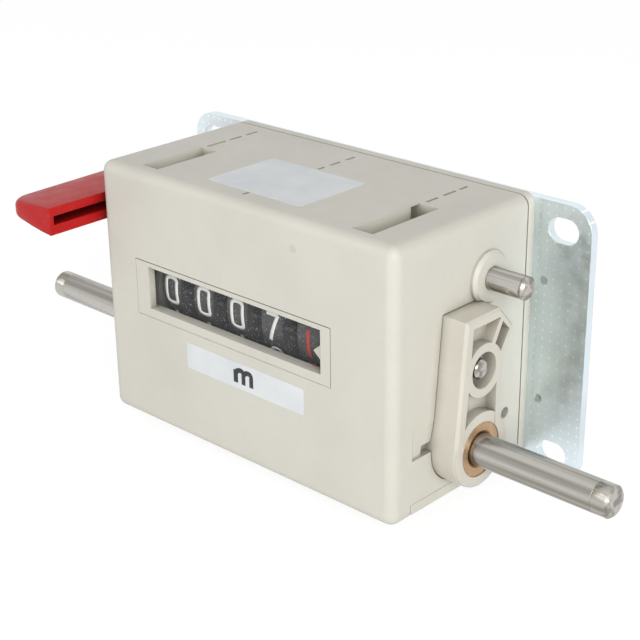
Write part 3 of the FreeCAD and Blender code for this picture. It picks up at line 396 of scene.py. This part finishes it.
bpy.ops.object.select_all(action="DESELECT")
bpy.ops.mesh.primitive_cone_add(vertices=40, radius1=HEAD_RADIUS, radius2=SCREW_RADIUS,
                                depth=HEAD_DEEP)
screw = bpy.context.object
screw.name = "screw"
pick(screw, "FACE", on_top)
bpy.ops.mesh.extrude_region_move(TRANSFORM_OT_translate={
    "value": (0, 0, SCREW_LONG - HEAD_DEEP - POINT_LONG)})
bpy.ops.mesh.extrude_region_move(TRANSFORM_OT_translate={"value": (0, 0, POINT_LONG)})
bpy.ops.transform.resize(value=(POINT_THIN, POINT_THIN, 1))
bpy.ops.object.mode_set(mode="OBJECT")
for long, wide in ((RECESS_LONG, RECESS_WIDE), (RECESS_WIDE, RECESS_LONG)):
    recess = block("recess", (-long / 2, -wide / 2, HEAD_FACE - RECESS_DEEP),
                   (long / 2, wide / 2, HEAD_FACE + RECESS_DEEP))
    pick(recess, "FACE", on_top)
    bpy.ops.transform.resize(value=(RECESS_NARROWS, RECESS_NARROWS, 1))
    bpy.ops.object.mode_set(mode="OBJECT")
    combine(screw, recess, "DIFFERENCE")
for i, (x, z) in enumerate(SCREW_SPOTS):
    driven = bpy.data.objects.new("plate_screw_%d" % (i + 1), screw.data.copy())
    scene.collection.objects.link(driven)
    driven.rotation_euler = (math.pi / 2, SCREW_TURN * i, 0)
    driven.location = (x, HEAD_FACE, z)
    in_place(driven, steel_plain, "housing")
    if i == 0:
        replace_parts(driven, "plate_screws")
bpy.data.objects.remove(screw)


# Base frame and bearing plates: light grey mouldings with a fine spark-eroded surface.  The
# frame is screwed to the mounting plate, and the bearing plates carry the axles in it.
def paint_corner_shade(finish, colour, reach, share=1.0):
    """Paint shade into the colour deep in corners, holes and pockets, by ambient occlusion."""
    corner = add_node(finish.node_tree, "ShaderNodeAmbientOcclusion", samples=8)
    corner.inputs["Distance"].default_value = reach
    tint(finish, corner.outputs["AO"], colour, 0.72, 0.2, share)


def moulded(name, colour, shade, roughness, grain=0.22 * MM, depth=0.008 * MM, corner_shade=None):
    """A moulded plastic: fine grain, faint flow clouds, a roughness that wanders, and painted
    shade in its corners if a shade colour is given.
    """
    plastic = new_finish(name, colour, roughness, edge=0.25 * MM)
    shader = plastic.node_tree.nodes["Principled BSDF"]
    shader.inputs["IOR"].default_value = 1.5
    shader.inputs["Specular IOR Level"].default_value = 0.42
    tint(plastic, noise(plastic, 22 * MM, detail=2.0), shade, 0.42, 0.72, 0.8)
    tint(plastic, noise(plastic, 1.2 * MM), shade, 0.5, 0.8, 0.35)
    sheen(plastic, noise(plastic, 4 * MM), roughness - 0.05, roughness + 0.06)
    relief(plastic, noise(plastic, grain, detail=2.0), depth, 0.6)
    # Painted shade: the corner shade colour is laid into corners, holes and pockets.
    if corner_shade:
        paint_corner_shade(plastic, corner_shade, 5 * MM, 0.85)
    return plastic


# Painted shade for the corners and pockets of the grey mouldings: frame, gear case and cover.
GREY_CORNER_SHADE = seen(128, 122, 108)
frame_plastic = moulded("frame_plastic", seen(215, 212, 200), seen(204, 201, 188), 0.46,
                        corner_shade=GREY_CORNER_SHADE)
for name in ("base_frame", "left_bearing_plate", "right_bearing_plate"):
    dress(name, frame_plastic)

# Register: five black wheels on a fixed steel axle, with natural plastic carry pinions
# behind them, a spacer, and a spring clip at the end of each axle.
WHEEL_COUNT = 5
PINION_COUNT = 4
wheel_black = moulded("wheel_black", seen(60, 58, 57), seen(70, 66, 70), 0.42, 0.12 * MM)
tint(wheel_black, noise(wheel_black, 1.1 * MM, detail=4.0), seen(104, 98, 104), 0.52, 0.72, 0.6)
tint(wheel_black, noise(wheel_black, 0.5 * MM, detail=1.0), seen(196, 194, 192),
     start=0.675, end=0.71, share=0.8)
gear_plastic = moulded("gear_plastic", seen(226, 224, 214), seen(212, 208, 194), 0.34)
steel_ground = new_finish("ground_steel", seen(190, 187, 181), 0.22, 1.0, 0.1 * MM)
# Painted reflection: darker bands that run along the bar, in place of the dark reflections along
# its length.
tint(steel_ground, noise(steel_ground, 2.0 * MM, (0.01, 1, 1), 2.0), seen(134, 130, 121),
     start=0.44, end=0.6, share=0.9)
turned_rings = noise(steel_ground, 0.5 * MM, (2, 0.15, 0.15))
tint(steel_ground, turned_rings, seen(160, 156, 150), 0.5, 0.8, 0.25)
sheen(steel_ground, turned_rings, 0.19, 0.25)
relief(steel_ground, noise(steel_ground, 0.4 * MM, (2, 0.1, 0.1)), 0.0006 * MM, 0.2)
# Painted shade: dark brown where the bar runs close to other parts, as inside the bushes.
paint_corner_shade(steel_ground, seen(90, 82, 72), 2 * MM, 0.9)
for i in range(WHEEL_COUNT):
    dress("number_wheel_%d" % (i + 1), wheel_black)
for i in range(PINION_COUNT):
    dress("carry_pinion_%d" % (i + 1), gear_plastic)
for name in ("axle_spacer", "tenths_wheel_gear"):
    dress(name, gear_plastic)
for name in ("wheel_axle", "pinion_axle"):
    dress(name, steel_ground)
for name in ("wheel_axle_clip", "pinion_axle_clip"):
    dress(name, steel_plain)

# Numerals: printed white on the four metre wheels and red on the tenths wheel, ten to a
# wheel.  The strokes are drawn once on a flat strip, which is bent round a rim and copied.
wheel_low, wheel_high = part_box("number_wheel_1")
RIM = (wheel_high.y - wheel_low.y) / 2
WHEEL_Y = (wheel_high.y + wheel_low.y) / 2
WHEEL_Z = (wheel_high.z + wheel_low.z) / 2
NUMERAL_PITCH = 2 * math.pi * RIM / 10
NUMERAL_DROP = 0.4 * MM
TENTHS_DROP = 1.05 * MM
FIRST_RIM = -24.5 * MM
RIM_PITCH = 10.67 * MM
READING = (0, 0, 0, 7, 1)
STROKE = 1.08 * MM
HALF_WIDE = 1.67 * MM
HALF_HIGH = 3.15 * MM
INK_THIN = 0.06
INK_RISE = 0.045 * MM
# Each stroke has its order (2 straight, 3 round), whether it closes, and its points.
NUMERALS = {
    0: [(3, True, [(-1, 1), (1, 1), (1, .35), (1, -.35), (1, -1), (-1, -1), (-1, -.35),
                   (-1, .35)])],
    1: [(2, False, [(0, 1), (0, -1)])],
    2: [(3, False, [(-1, .5), (-1, 1), (1, 1), (1, .3), (.3, -.25), (-1, -.98)]),
        (2, False, [(-1, -1), (1, -1)])],
    3: [(3, False, [(-1, .7), (-.8, 1), (1, 1), (1, .08), (-.2, .08)]),
        (3, False, [(-.2, .08), (1, .08), (1, -1), (-.8, -1), (-1, -.7)])],
    4: [(2, False, [(.2, 1), (-1, -.35), (1, -.35)]), (2, False, [(.4, .25), (.4, -1)])],
    5: [(2, False, [(.95, 1), (-.85, 1), (-.95, .12)]),
        (3, False, [(-.95, .12), (-.3, .35), (1, .4), (1, -1), (-.8, -1), (-1, -.75)])],
    6: [(3, True, [(-1, .15), (1, .15), (1, -1), (-1, -1)]),
        (3, False, [(-.98, -.4), (-1, .5), (-.6, 1), (.6, 1)])],
    7: [(2, False, [(-1, 1), (1, 1)]), (2, False, [(1, 1), (.28, 0), (-.45, -1)])],
    8: [(3, True, [(-.9, 1), (.9, 1), (.9, .05), (-.9, .05)]),
        (3, True, [(-1, .05), (1, .05), (1, -1), (-1, -1)])],
    9: [(3, True, [(-1, -.15), (1, -.15), (1, 1), (-1, 1)]),
        (3, False, [(.98, .4), (1, -.5), (.6, -1), (-.6, -1)])],
}


def edit_all(piece):
    """Edit a piece with everything in it selected."""
    work_on(piece)
    bpy.ops.object.mode_set(mode="EDIT")
    bpy.ops.mesh.select_all(action="SELECT")


def drawn(name, strokes, thickness, flatness):
    """Flat strokes as a mesh; each has its order, whether it closes, and its points (x, z)."""
    lines = bpy.data.curves.new(name, "CURVE")
    lines.dimensions = "3D"
    lines.bevel_depth = thickness / 2
    lines.bevel_resolution = 1
    lines.use_fill_caps = True
    for order, closed, points in strokes:
        line = lines.splines.new("NURBS")
        line.points.add(len(points) - 1)
        for point, (x, z) in zip(line.points, points):
            point.co = (x, 0, z, 1)
        line.use_cyclic_u = closed
        line.order_u = order
        line.use_endpoint_u = not closed
        line.resolution_u = 9
    piece = bpy.data.objects.new(name, lines)
    scene.collection.objects.link(piece)
    work_on(piece)
    bpy.ops.object.convert(target="MESH")
    piece = bpy.context.object
    edit_all(piece)
    bpy.ops.transform.resize(value=(1, flatness, 1), center_override=(0, 0, 0))
    bpy.ops.object.mode_set(mode="OBJECT")
    return piece


strokes = [(order, closed, [(x * HALF_WIDE, z * HALF_HIGH - digit * NUMERAL_PITCH)
                            for x, z in points])
           for digit, drawing in NUMERALS.items() for order, closed, points in drawing]
numerals = drawn("numerals", strokes, STROKE, INK_THIN)
numerals.location.y = -INK_RISE
bpy.ops.object.transform_apply(location=True)
bend = numerals.modifiers.new("round_the_rim", "SIMPLE_DEFORM")
bend.deform_method = "BEND"
bend.deform_axis = "X"
bend.angle = numerals.dimensions.z / RIM
bpy.ops.object.modifier_apply(modifier="round_the_rim")

white_ink = new_finish("white_ink", seen(254, 254, 250), 0.5, edge=0)
red_ink = new_finish("red_ink", seen(196, 52, 40), 0.5, edge=0)
for ink, worn, share in ((white_ink, seen(216, 214, 212), 0.5), (red_ink, seen(160, 40, 34), 0.6)):
    tint(ink, noise(ink, 0.5 * MM), worn, 0.55, 0.8, share)
    sheen(ink, noise(ink, 0.4 * MM), 0.42, 0.6)
for i, digit in enumerate(READING):
    tenths = i == WHEEL_COUNT - 1
    printed = bpy.data.objects.new("numerals_%d" % (i + 1), numerals.data.copy())
    scene.collection.objects.link(printed)
    printed.location = (FIRST_RIM + i * RIM_PITCH, WHEEL_Y - RIM, WHEEL_Z)
    work_on(printed)
    bpy.ops.object.transform_apply(location=True)
    drop = TENTHS_DROP if tenths else NUMERAL_DROP
    printed.data.transform(Matrix.Translation((0, WHEEL_Y, WHEEL_Z))
                           @ Matrix.Rotation((drop - digit * NUMERAL_PITCH) / RIM, 4, "X")
                           @ Matrix.Translation((0, -WHEEL_Y, -WHEEL_Z)))
    in_place(printed, red_ink if tenths else white_ink,
             "tenths" if tenths else "wheel_%d" % (i + 1))
bpy.data.objects.remove(numerals)

# Shafts: bright drawn steel bar with chamfered ends, moulded gears pressed on.  The drive
# shaft runs right through, with a fine tool line near each end; the reset shaft has one on
# the right, and the short second shaft none.
TOOL_LINE_HALF = 0.2 * MM
TOOL_LINE_DEEP = 0.12 * MM


def shaft(name, body, replaced, left, right, radius, spot, chamfer, lines=()):
    """A round bar along X with chamfered ends and fine turned lines at the given places."""
    bpy.ops.object.select_all(action="DESELECT")
    bpy.ops.mesh.primitive_cylinder_add(vertices=72, radius=radius, depth=right - left,
                                        location=((left + right) / 2, *spot),
                                        rotation=(0, math.pi / 2, 0))
    bar = bpy.context.object
    bar.name = name
    bpy.ops.object.transform_apply(location=True, rotation=True, scale=True)
    pick(bar, "FACE", lambda face: abs(face.normal.x) > 0.9)
    bpy.ops.mesh.bevel(offset=chamfer, segments=1, affect="EDGES")
    for line in lines:
        for side in (-TOOL_LINE_HALF, 0, TOOL_LINE_HALF):
            bpy.ops.mesh.select_all(action="SELECT")
            bpy.ops.mesh.bisect(plane_co=(line + side, 0, 0), plane_no=(1, 0, 0))
        pick(bar, "VERT", lambda vertex: abs(vertex.co.x - line) < TOOL_LINE_HALF / 2)
        thin = (radius - TOOL_LINE_DEEP) / radius
        bpy.ops.transform.resize(value=(1, thin, thin), center_override=(line, *spot))
    bpy.ops.object.mode_set(mode="OBJECT")
    bpy.ops.object.shade_smooth_by_angle(angle=math.radians(35))
    in_place(bar, steel_ground, body)
    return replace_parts(bar, replaced)


shaft("drive_shaft_bar", "drive", "drive_shaft", left=-88.2 * MM, right=84 * MM,
      radius=3.5 * MM, spot=(-26.2 * MM, -15.8 * MM), chamfer=0.6 * MM,
      lines=(-84.2 * MM, 80.2 * MM))
shaft("reset_shaft_bar", "reset", "reset_shaft", left=-58.3 * MM, right=55.5 * MM,
      radius=2.5 * MM, spot=(-17.6 * MM, 18.6 * MM), chamfer=0.5 * MM, lines=(54.3 * MM,))
shaft("second_shaft_bar", "second", "second_shaft", left=35.8 * MM, right=50.65 * MM,
      radius=2.15 * MM, spot=(-25.9 * MM, 2.1975 * MM), chamfer=0.35 * MM)
for name in ("drive_gear", "change_gear", "second_gear"):
    dress(name, gear_plastic)
dress("shaft_rings", steel_plain)

# Gear case and bushes: a ribbed satin moulding on the right side, and a sintered bronze bush
# on each side that the drive shaft runs in.
case_plastic = moulded("case_plastic", seen(214, 210, 198), seen(205, 200, 187), 0.40,
                       corner_shade=GREY_CORNER_SHADE)
dress("gear_case", case_plastic)
bronze = new_finish("sintered_bronze", seen(190, 158, 124), 0.42, 0.85, 0.15 * MM)
tint(bronze, noise(bronze, 0.35 * MM, detail=5.0), seen(140, 104, 74), 0.5, 0.75, 0.8)
tint(bronze, noise(bronze, 3 * MM), seen(214, 184, 150), 0.5, 0.75, 0.5)
sheen(bronze, noise(bronze, 0.4 * MM), 0.32, 0.55)
relief(bronze, noise(bronze, 0.2 * MM), 0.01 * MM, 0.7)
# Painted shade: darker brown deep in the bore, round the shaft.
paint_corner_shade(bronze, seen(120, 90, 64), 1.5 * MM, 0.3)
for name in ("right_bush", "left_bush"):
    dress(name, bronze)

# Front cover: one moulded shell, warm light grey, with a fine eroded surface and a gate mark
# on its face.  Two deep recesses in its top leave room for the snap hooks of the base frame.
COVER_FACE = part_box("front_cover")[0].y
COVER_TOP = 32.6 * MM
GATE_SPOT = (18.1 * MM, -47.1 * MM, 26.2 * MM)
RECESS_FRONT = -43.1 * MM
RECESS_FLOOR = 29.0 * MM
RECESS_WALL = 0.8 * MM
HOOK_LONG = 2.5 * MM
HOOK_ROOM = 1.9 * MM
HOOK_LIP = 0.45 * MM
# A cutter reaches this far past the face that it opens.
CUT_PAST = 1 * MM
# Each recess has its left side, right side and back, and whether a hook reaches into it.
RECESSES = ((-32.2 * MM, -27.1 * MM, -25.2 * MM, False),
            (30.5 * MM, 36.1 * MM, -22.5 * MM, True))
cover_plastic = moulded("cover_plastic", seen(212, 209, 198), seen(205, 203, 192), 0.44,
                        corner_shade=GREY_CORNER_SHADE)
to_gate = distance_from(cover_plastic, GATE_SPOT, place_on(cover_plastic))
tint(cover_plastic, to_gate, seen(190, 187, 176), 1.0 * MM, 0.8 * MM, 0.5)
relief(cover_plastic, spread(cover_plastic, to_gate, 0.0, 1.0, 0.8 * MM, 1.0 * MM),
       0.05 * MM, 0.6)

work_on(nodes["front_cover"])
bpy.ops.object.duplicate()
shell = bpy.context.object
shell.name = "front_shell"
shell.parent = None
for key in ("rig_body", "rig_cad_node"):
    del shell[key]
edit_all(shell)
bpy.ops.mesh.remove_doubles(threshold=0.0005 * MM)
bpy.ops.mesh.dissolve_limited(angle_limit=math.radians(0.05))
bpy.ops.mesh.customdata_custom_splitnormals_clear()
bpy.ops.object.mode_set(mode="OBJECT")
bpy.ops.object.shade_flat()
for left, right, back, hooked in RECESSES:
    walls = block("walls", (left - HOOK_ROOM - 0.5 * MM, RECESS_FRONT - RECESS_WALL,
                            RECESS_FLOOR - RECESS_WALL),
                  (right + 0.6 * MM, back + 1.3 * MM, COVER_TOP))
    combine(shell, walls, "UNION")
    combine(shell, block("recess", (left, RECESS_FRONT, RECESS_FLOOR),
                         (right, back, COVER_TOP + CUT_PAST)), "DIFFERENCE")
    if hooked:
        combine(shell, block("hook_room", (left - HOOK_ROOM, back - HOOK_LONG, RECESS_FLOOR),
                             (left + 0.5 * MM, back - 0.05 * MM, COVER_TOP - HOOK_LIP)),
                "DIFFERENCE")
in_place(shell, cover_plastic, "housing")
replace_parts(shell, "front_cover")


# Window bezel: a separate frame of the same plastic, set flush in the funnel of the cover with
# a hairline gap round it and straight walls down to the lens.
def soften(piece, width, segments, angle=30):
    """Round the edges of a piece that are sharper than an angle in degrees."""
    rounding = piece.modifiers.new("soften", "BEVEL")
    rounding.width = width
    rounding.segments = segments
    rounding.limit_method = "ANGLE"
    rounding.angle_limit = math.radians(angle)
    work_on(piece)
    bpy.ops.object.modifier_apply(modifier="soften")


BEZEL_FRONT, BEZEL_BACK = -47.08 * MM, -45.2 * MM
BEZEL_LOW = Vector((-31.82 * MM, BEZEL_FRONT, -1.72 * MM))
BEZEL_HIGH = Vector((28.22 * MM, BEZEL_BACK, 11.62 * MM))
BEZEL_MIDDLE = (BEZEL_LOW + BEZEL_HIGH) / 2
# The back of the bezel is smaller than its front.
BACK_LEFT, BACK_RIGHT = -29.5 * MM, 23.6 * MM
BACK_FOOT, BACK_HEAD = 0.42 * MM, 9.7 * MM
HOLE_LEFT, HOLE_RIGHT = -27.6 * MM, 25.4 * MM
HOLE_FOOT, HOLE_HEAD = 0.5 * MM, 10.5 * MM
bezel = block("window_bezel", BEZEL_LOW, BEZEL_HIGH)
for vertex in bezel.data.vertices:
    if vertex.co.y > BEZEL_MIDDLE.y:
        vertex.co.x = BACK_LEFT if vertex.co.x < BEZEL_MIDDLE.x else BACK_RIGHT
        vertex.co.z = BACK_FOOT if vertex.co.z < BEZEL_MIDDLE.z else BACK_HEAD
combine(bezel, block("window_hole", (HOLE_LEFT, BEZEL_FRONT - CUT_PAST, HOLE_FOOT),
                     (HOLE_RIGHT, BEZEL_BACK + CUT_PAST, HOLE_HEAD)), "DIFFERENCE")
soften(bezel, 0.08 * MM, 2)
in_place(bezel, cover_plastic, "housing")

# Unit plate and rating plate: two blank white foil labels stuck to the cover, the front one
# printed with the unit of length, a heavy m for metres.
LABEL_THICK = 0.08 * MM
LABEL_EDGE = 0.02 * MM
UNIT_MIDDLE = 2.5 * MM


def foil(name, width, depth, corner):
    """A thin foil label lying in the XY plane, with rounded corners."""
    half = Vector((width, depth, LABEL_THICK)) / 2
    label = block(name, -half, half)

    def upright(edge):
        one, two = (label.data.vertices[i].co for i in edge.vertices)
        return abs(one.z - two.z) > LABEL_THICK / 2

    pick(label, "EDGE", upright)
    bpy.ops.mesh.bevel(offset=corner, segments=5)
    bpy.ops.mesh.select_all(action="SELECT")
    bpy.ops.mesh.bevel(offset=LABEL_EDGE, segments=1, affect="EDGES")
    bpy.ops.object.mode_set(mode="OBJECT")
    return label


label_white = new_finish("label_foil", seen(224, 228, 228), 0.38, edge=0)
tint(label_white, noise(label_white, 9 * MM, detail=2.0), seen(214, 219, 222), 0.4, 0.7)
tint(label_white, noise(label_white, 0.4 * MM), seen(206, 210, 210), 0.6, 0.85, 0.5)
sheen(label_white, noise(label_white, 2 * MM), 0.32, 0.45)
relief(label_white, noise(label_white, 3 * MM), 0.02 * MM, 0.3)
unit_label = foil("unit_label", width=36.2 * MM, depth=6.2 * MM, corner=0.55 * MM)
unit_label.rotation_euler = (math.pi / 2, 0, 0)
unit_label.location = (UNIT_MIDDLE, COVER_FACE - LABEL_THICK / 2, -7.45 * MM)
in_place(unit_label, label_white, "housing")
rating_label = foil("rating_label", width=28 * MM, depth=20.4 * MM, corner=1.2 * MM)
rating_label.location = (0.2 * MM, -30.6 * MM, COVER_TOP)
in_place(rating_label, label_white, "housing")

black_ink = new_finish("black_ink", seen(34, 33, 34), 0.45, edge=0)
tint(black_ink, noise(black_ink, 0.4 * MM), seen(58, 57, 58), 0.5, 0.8)
sheen(black_ink, noise(black_ink, 0.3 * MM), 0.38, 0.55)
UNIT_STROKE = 1.35 * MM
UNIT_THIN = 0.04
UNIT_RISE = 0.01 * MM
STEM_APART = 2.4 * MM
STEM_HIGH = 3.0 * MM
UNIT_FOOT = -9.2 * MM
arch = [(0, 2.1 * MM), (0.4 * MM, 3.1 * MM), (STEM_APART, 3.2 * MM), (STEM_APART, 1.6 * MM),
        (STEM_APART, 0)]
letter = drawn("unit_letter", [
    (2, False, [(0, STEM_HIGH), (0, 0)]),
    (3, False, arch),
    (3, False, [(x + STEM_APART, z) for x, z in arch])], UNIT_STROKE, UNIT_THIN)
letter.location = (UNIT_MIDDLE - STEM_APART, COVER_FACE - LABEL_THICK - UNIT_RISE, UNIT_FOOT)
in_place(letter, black_ink, "housing")

# Window lens: a thin sheet of clear plastic behind the step of the window.
clear = new_finish("clear_lens", seen(170, 178, 178), 0.06, edge=0)
clear.node_tree.nodes["Principled BSDF"].inputs["Alpha"].default_value = 0.05
sheen(clear, noise(clear, 6 * MM), 0.03, 0.10)
dress("window_lens", clear)

# Reset lever: a red semi-gloss moulding, thinner towards its outer edge, with a long slot in
# its inner side and a round hub that is pressed on the end of the reset shaft.
LEVER_IN, LEVER_OUT = -45.3 * MM, -62.8 * MM
LEVER_MIDDLE = (LEVER_IN + LEVER_OUT) / 2
LEVER_TIP, HUB_Y = -59.9 * MM, -17.6 * MM
LEVER_LOW, LEVER_HIGH = 17.1 * MM, 23.6 * MM
HUB_Z = 18.6 * MM
HUB_RADIUS = 5.0 * MM
OUTER_THIN = 0.62
TIP_NARROWING = 1.3 * MM
TIP_ROUND = 5.0 * MM
OUTSIDE_ROUND = 1.5 * MM
NEAR_TIP = LEVER_TIP + 1 * MM
SLOT_DEEP = 6.5 * MM
SLOT_FRONT, SLOT_BACK = LEVER_TIP + 1.1 * MM, -27.1 * MM
SLOT_LOW, SLOT_HIGH = LEVER_LOW + 2.3 * MM, LEVER_LOW + 4.4 * MM
# The lever's last colour is painted shade, dark red, in its corners and slot.
lever_red = moulded("lever_red", seen(186, 28, 28), seen(166, 20, 22), 0.34, 0.3 * MM,
                    0.006 * MM, seen(70, 4, 6))
lever_red.node_tree.nodes["Principled BSDF"].inputs["Specular IOR Level"].default_value = 0.2
tint(lever_red, noise(lever_red, 0.5 * MM, detail=1.0), seen(222, 96, 88), 0.70, 0.76, 0.6)
lever = block("lever", (LEVER_OUT, LEVER_TIP, LEVER_LOW), (LEVER_IN, HUB_Y, LEVER_HIGH))


def outside(vertex):
    return vertex.co.x < LEVER_MIDDLE


def ends_of(edge):
    return [lever.data.vertices[i].co for i in edge.vertices]


def at_outer_tip(edge):
    return all(end.x < LEVER_MIDDLE and end.y < NEAR_TIP for end in ends_of(edge))


def along_outside(edge):
    """The long edges of the outer side and their round continuation at the tip."""
    one, two = ends_of(edge)
    level = abs(one.z - two.z) < 0.4 * MM
    outer = max(one.x, two.x) < LEVER_IN - 1 * MM and min(one.x, two.x) < LEVER_MIDDLE
    return level and outer and max(one.y, two.y) > LEVER_TIP + 0.01 * MM


pick(lever, "VERT", outside)
bpy.ops.transform.resize(value=(1, 1, OUTER_THIN),
                         center_override=(0, 0, (LEVER_LOW + LEVER_HIGH) / 2))
pick(lever, "VERT", lambda vertex: outside(vertex) and vertex.co.y < NEAR_TIP)
bpy.ops.transform.translate(value=(TIP_NARROWING, 0, 0))
pick(lever, "EDGE", at_outer_tip)
bpy.ops.mesh.bevel(offset=TIP_ROUND, segments=9)
pick(lever, "EDGE", along_outside)
bpy.ops.mesh.bevel(offset=OUTSIDE_ROUND, segments=5)
bpy.ops.object.mode_set(mode="OBJECT")
bpy.ops.object.select_all(action="DESELECT")
bpy.ops.mesh.primitive_cylinder_add(vertices=64, radius=HUB_RADIUS, depth=LEVER_IN - LEVER_OUT,
                                    location=(LEVER_MIDDLE, HUB_Y, HUB_Z),
                                    rotation=(0, math.pi / 2, 0))
combine(lever, bpy.context.object, "UNION")
combine(lever, block("slot", (LEVER_IN - SLOT_DEEP, SLOT_FRONT, SLOT_LOW),
                     (LEVER_IN + CUT_PAST, SLOT_BACK, SLOT_HIGH)), "DIFFERENCE")
edit_all(lever)
bpy.ops.mesh.remove_doubles(threshold=0.05 * MM)
bpy.ops.mesh.dissolve_limited(angle_limit=math.radians(1))
bpy.ops.object.mode_set(mode="OBJECT")
soften(lever, 0.35 * MM, 3, 50)
edit_all(lever)
bpy.ops.mesh.remove_doubles(threshold=0.005 * MM)
bpy.ops.mesh.dissolve_degenerate(threshold=0.002 * MM)
bpy.ops.object.mode_set(mode="OBJECT")
bpy.ops.object.shade_smooth_by_angle(angle=math.radians(30))
in_place(lever, lever_red, "reset")
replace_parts(lever, "reset_lever")

# Reset comb and return spring: moulded fingers on the reset shaft that reach the wheels, and
# the steel spring that swings the shaft back.
dress("reset_comb", gear_plastic)
dress("return_spring", steel_plain)
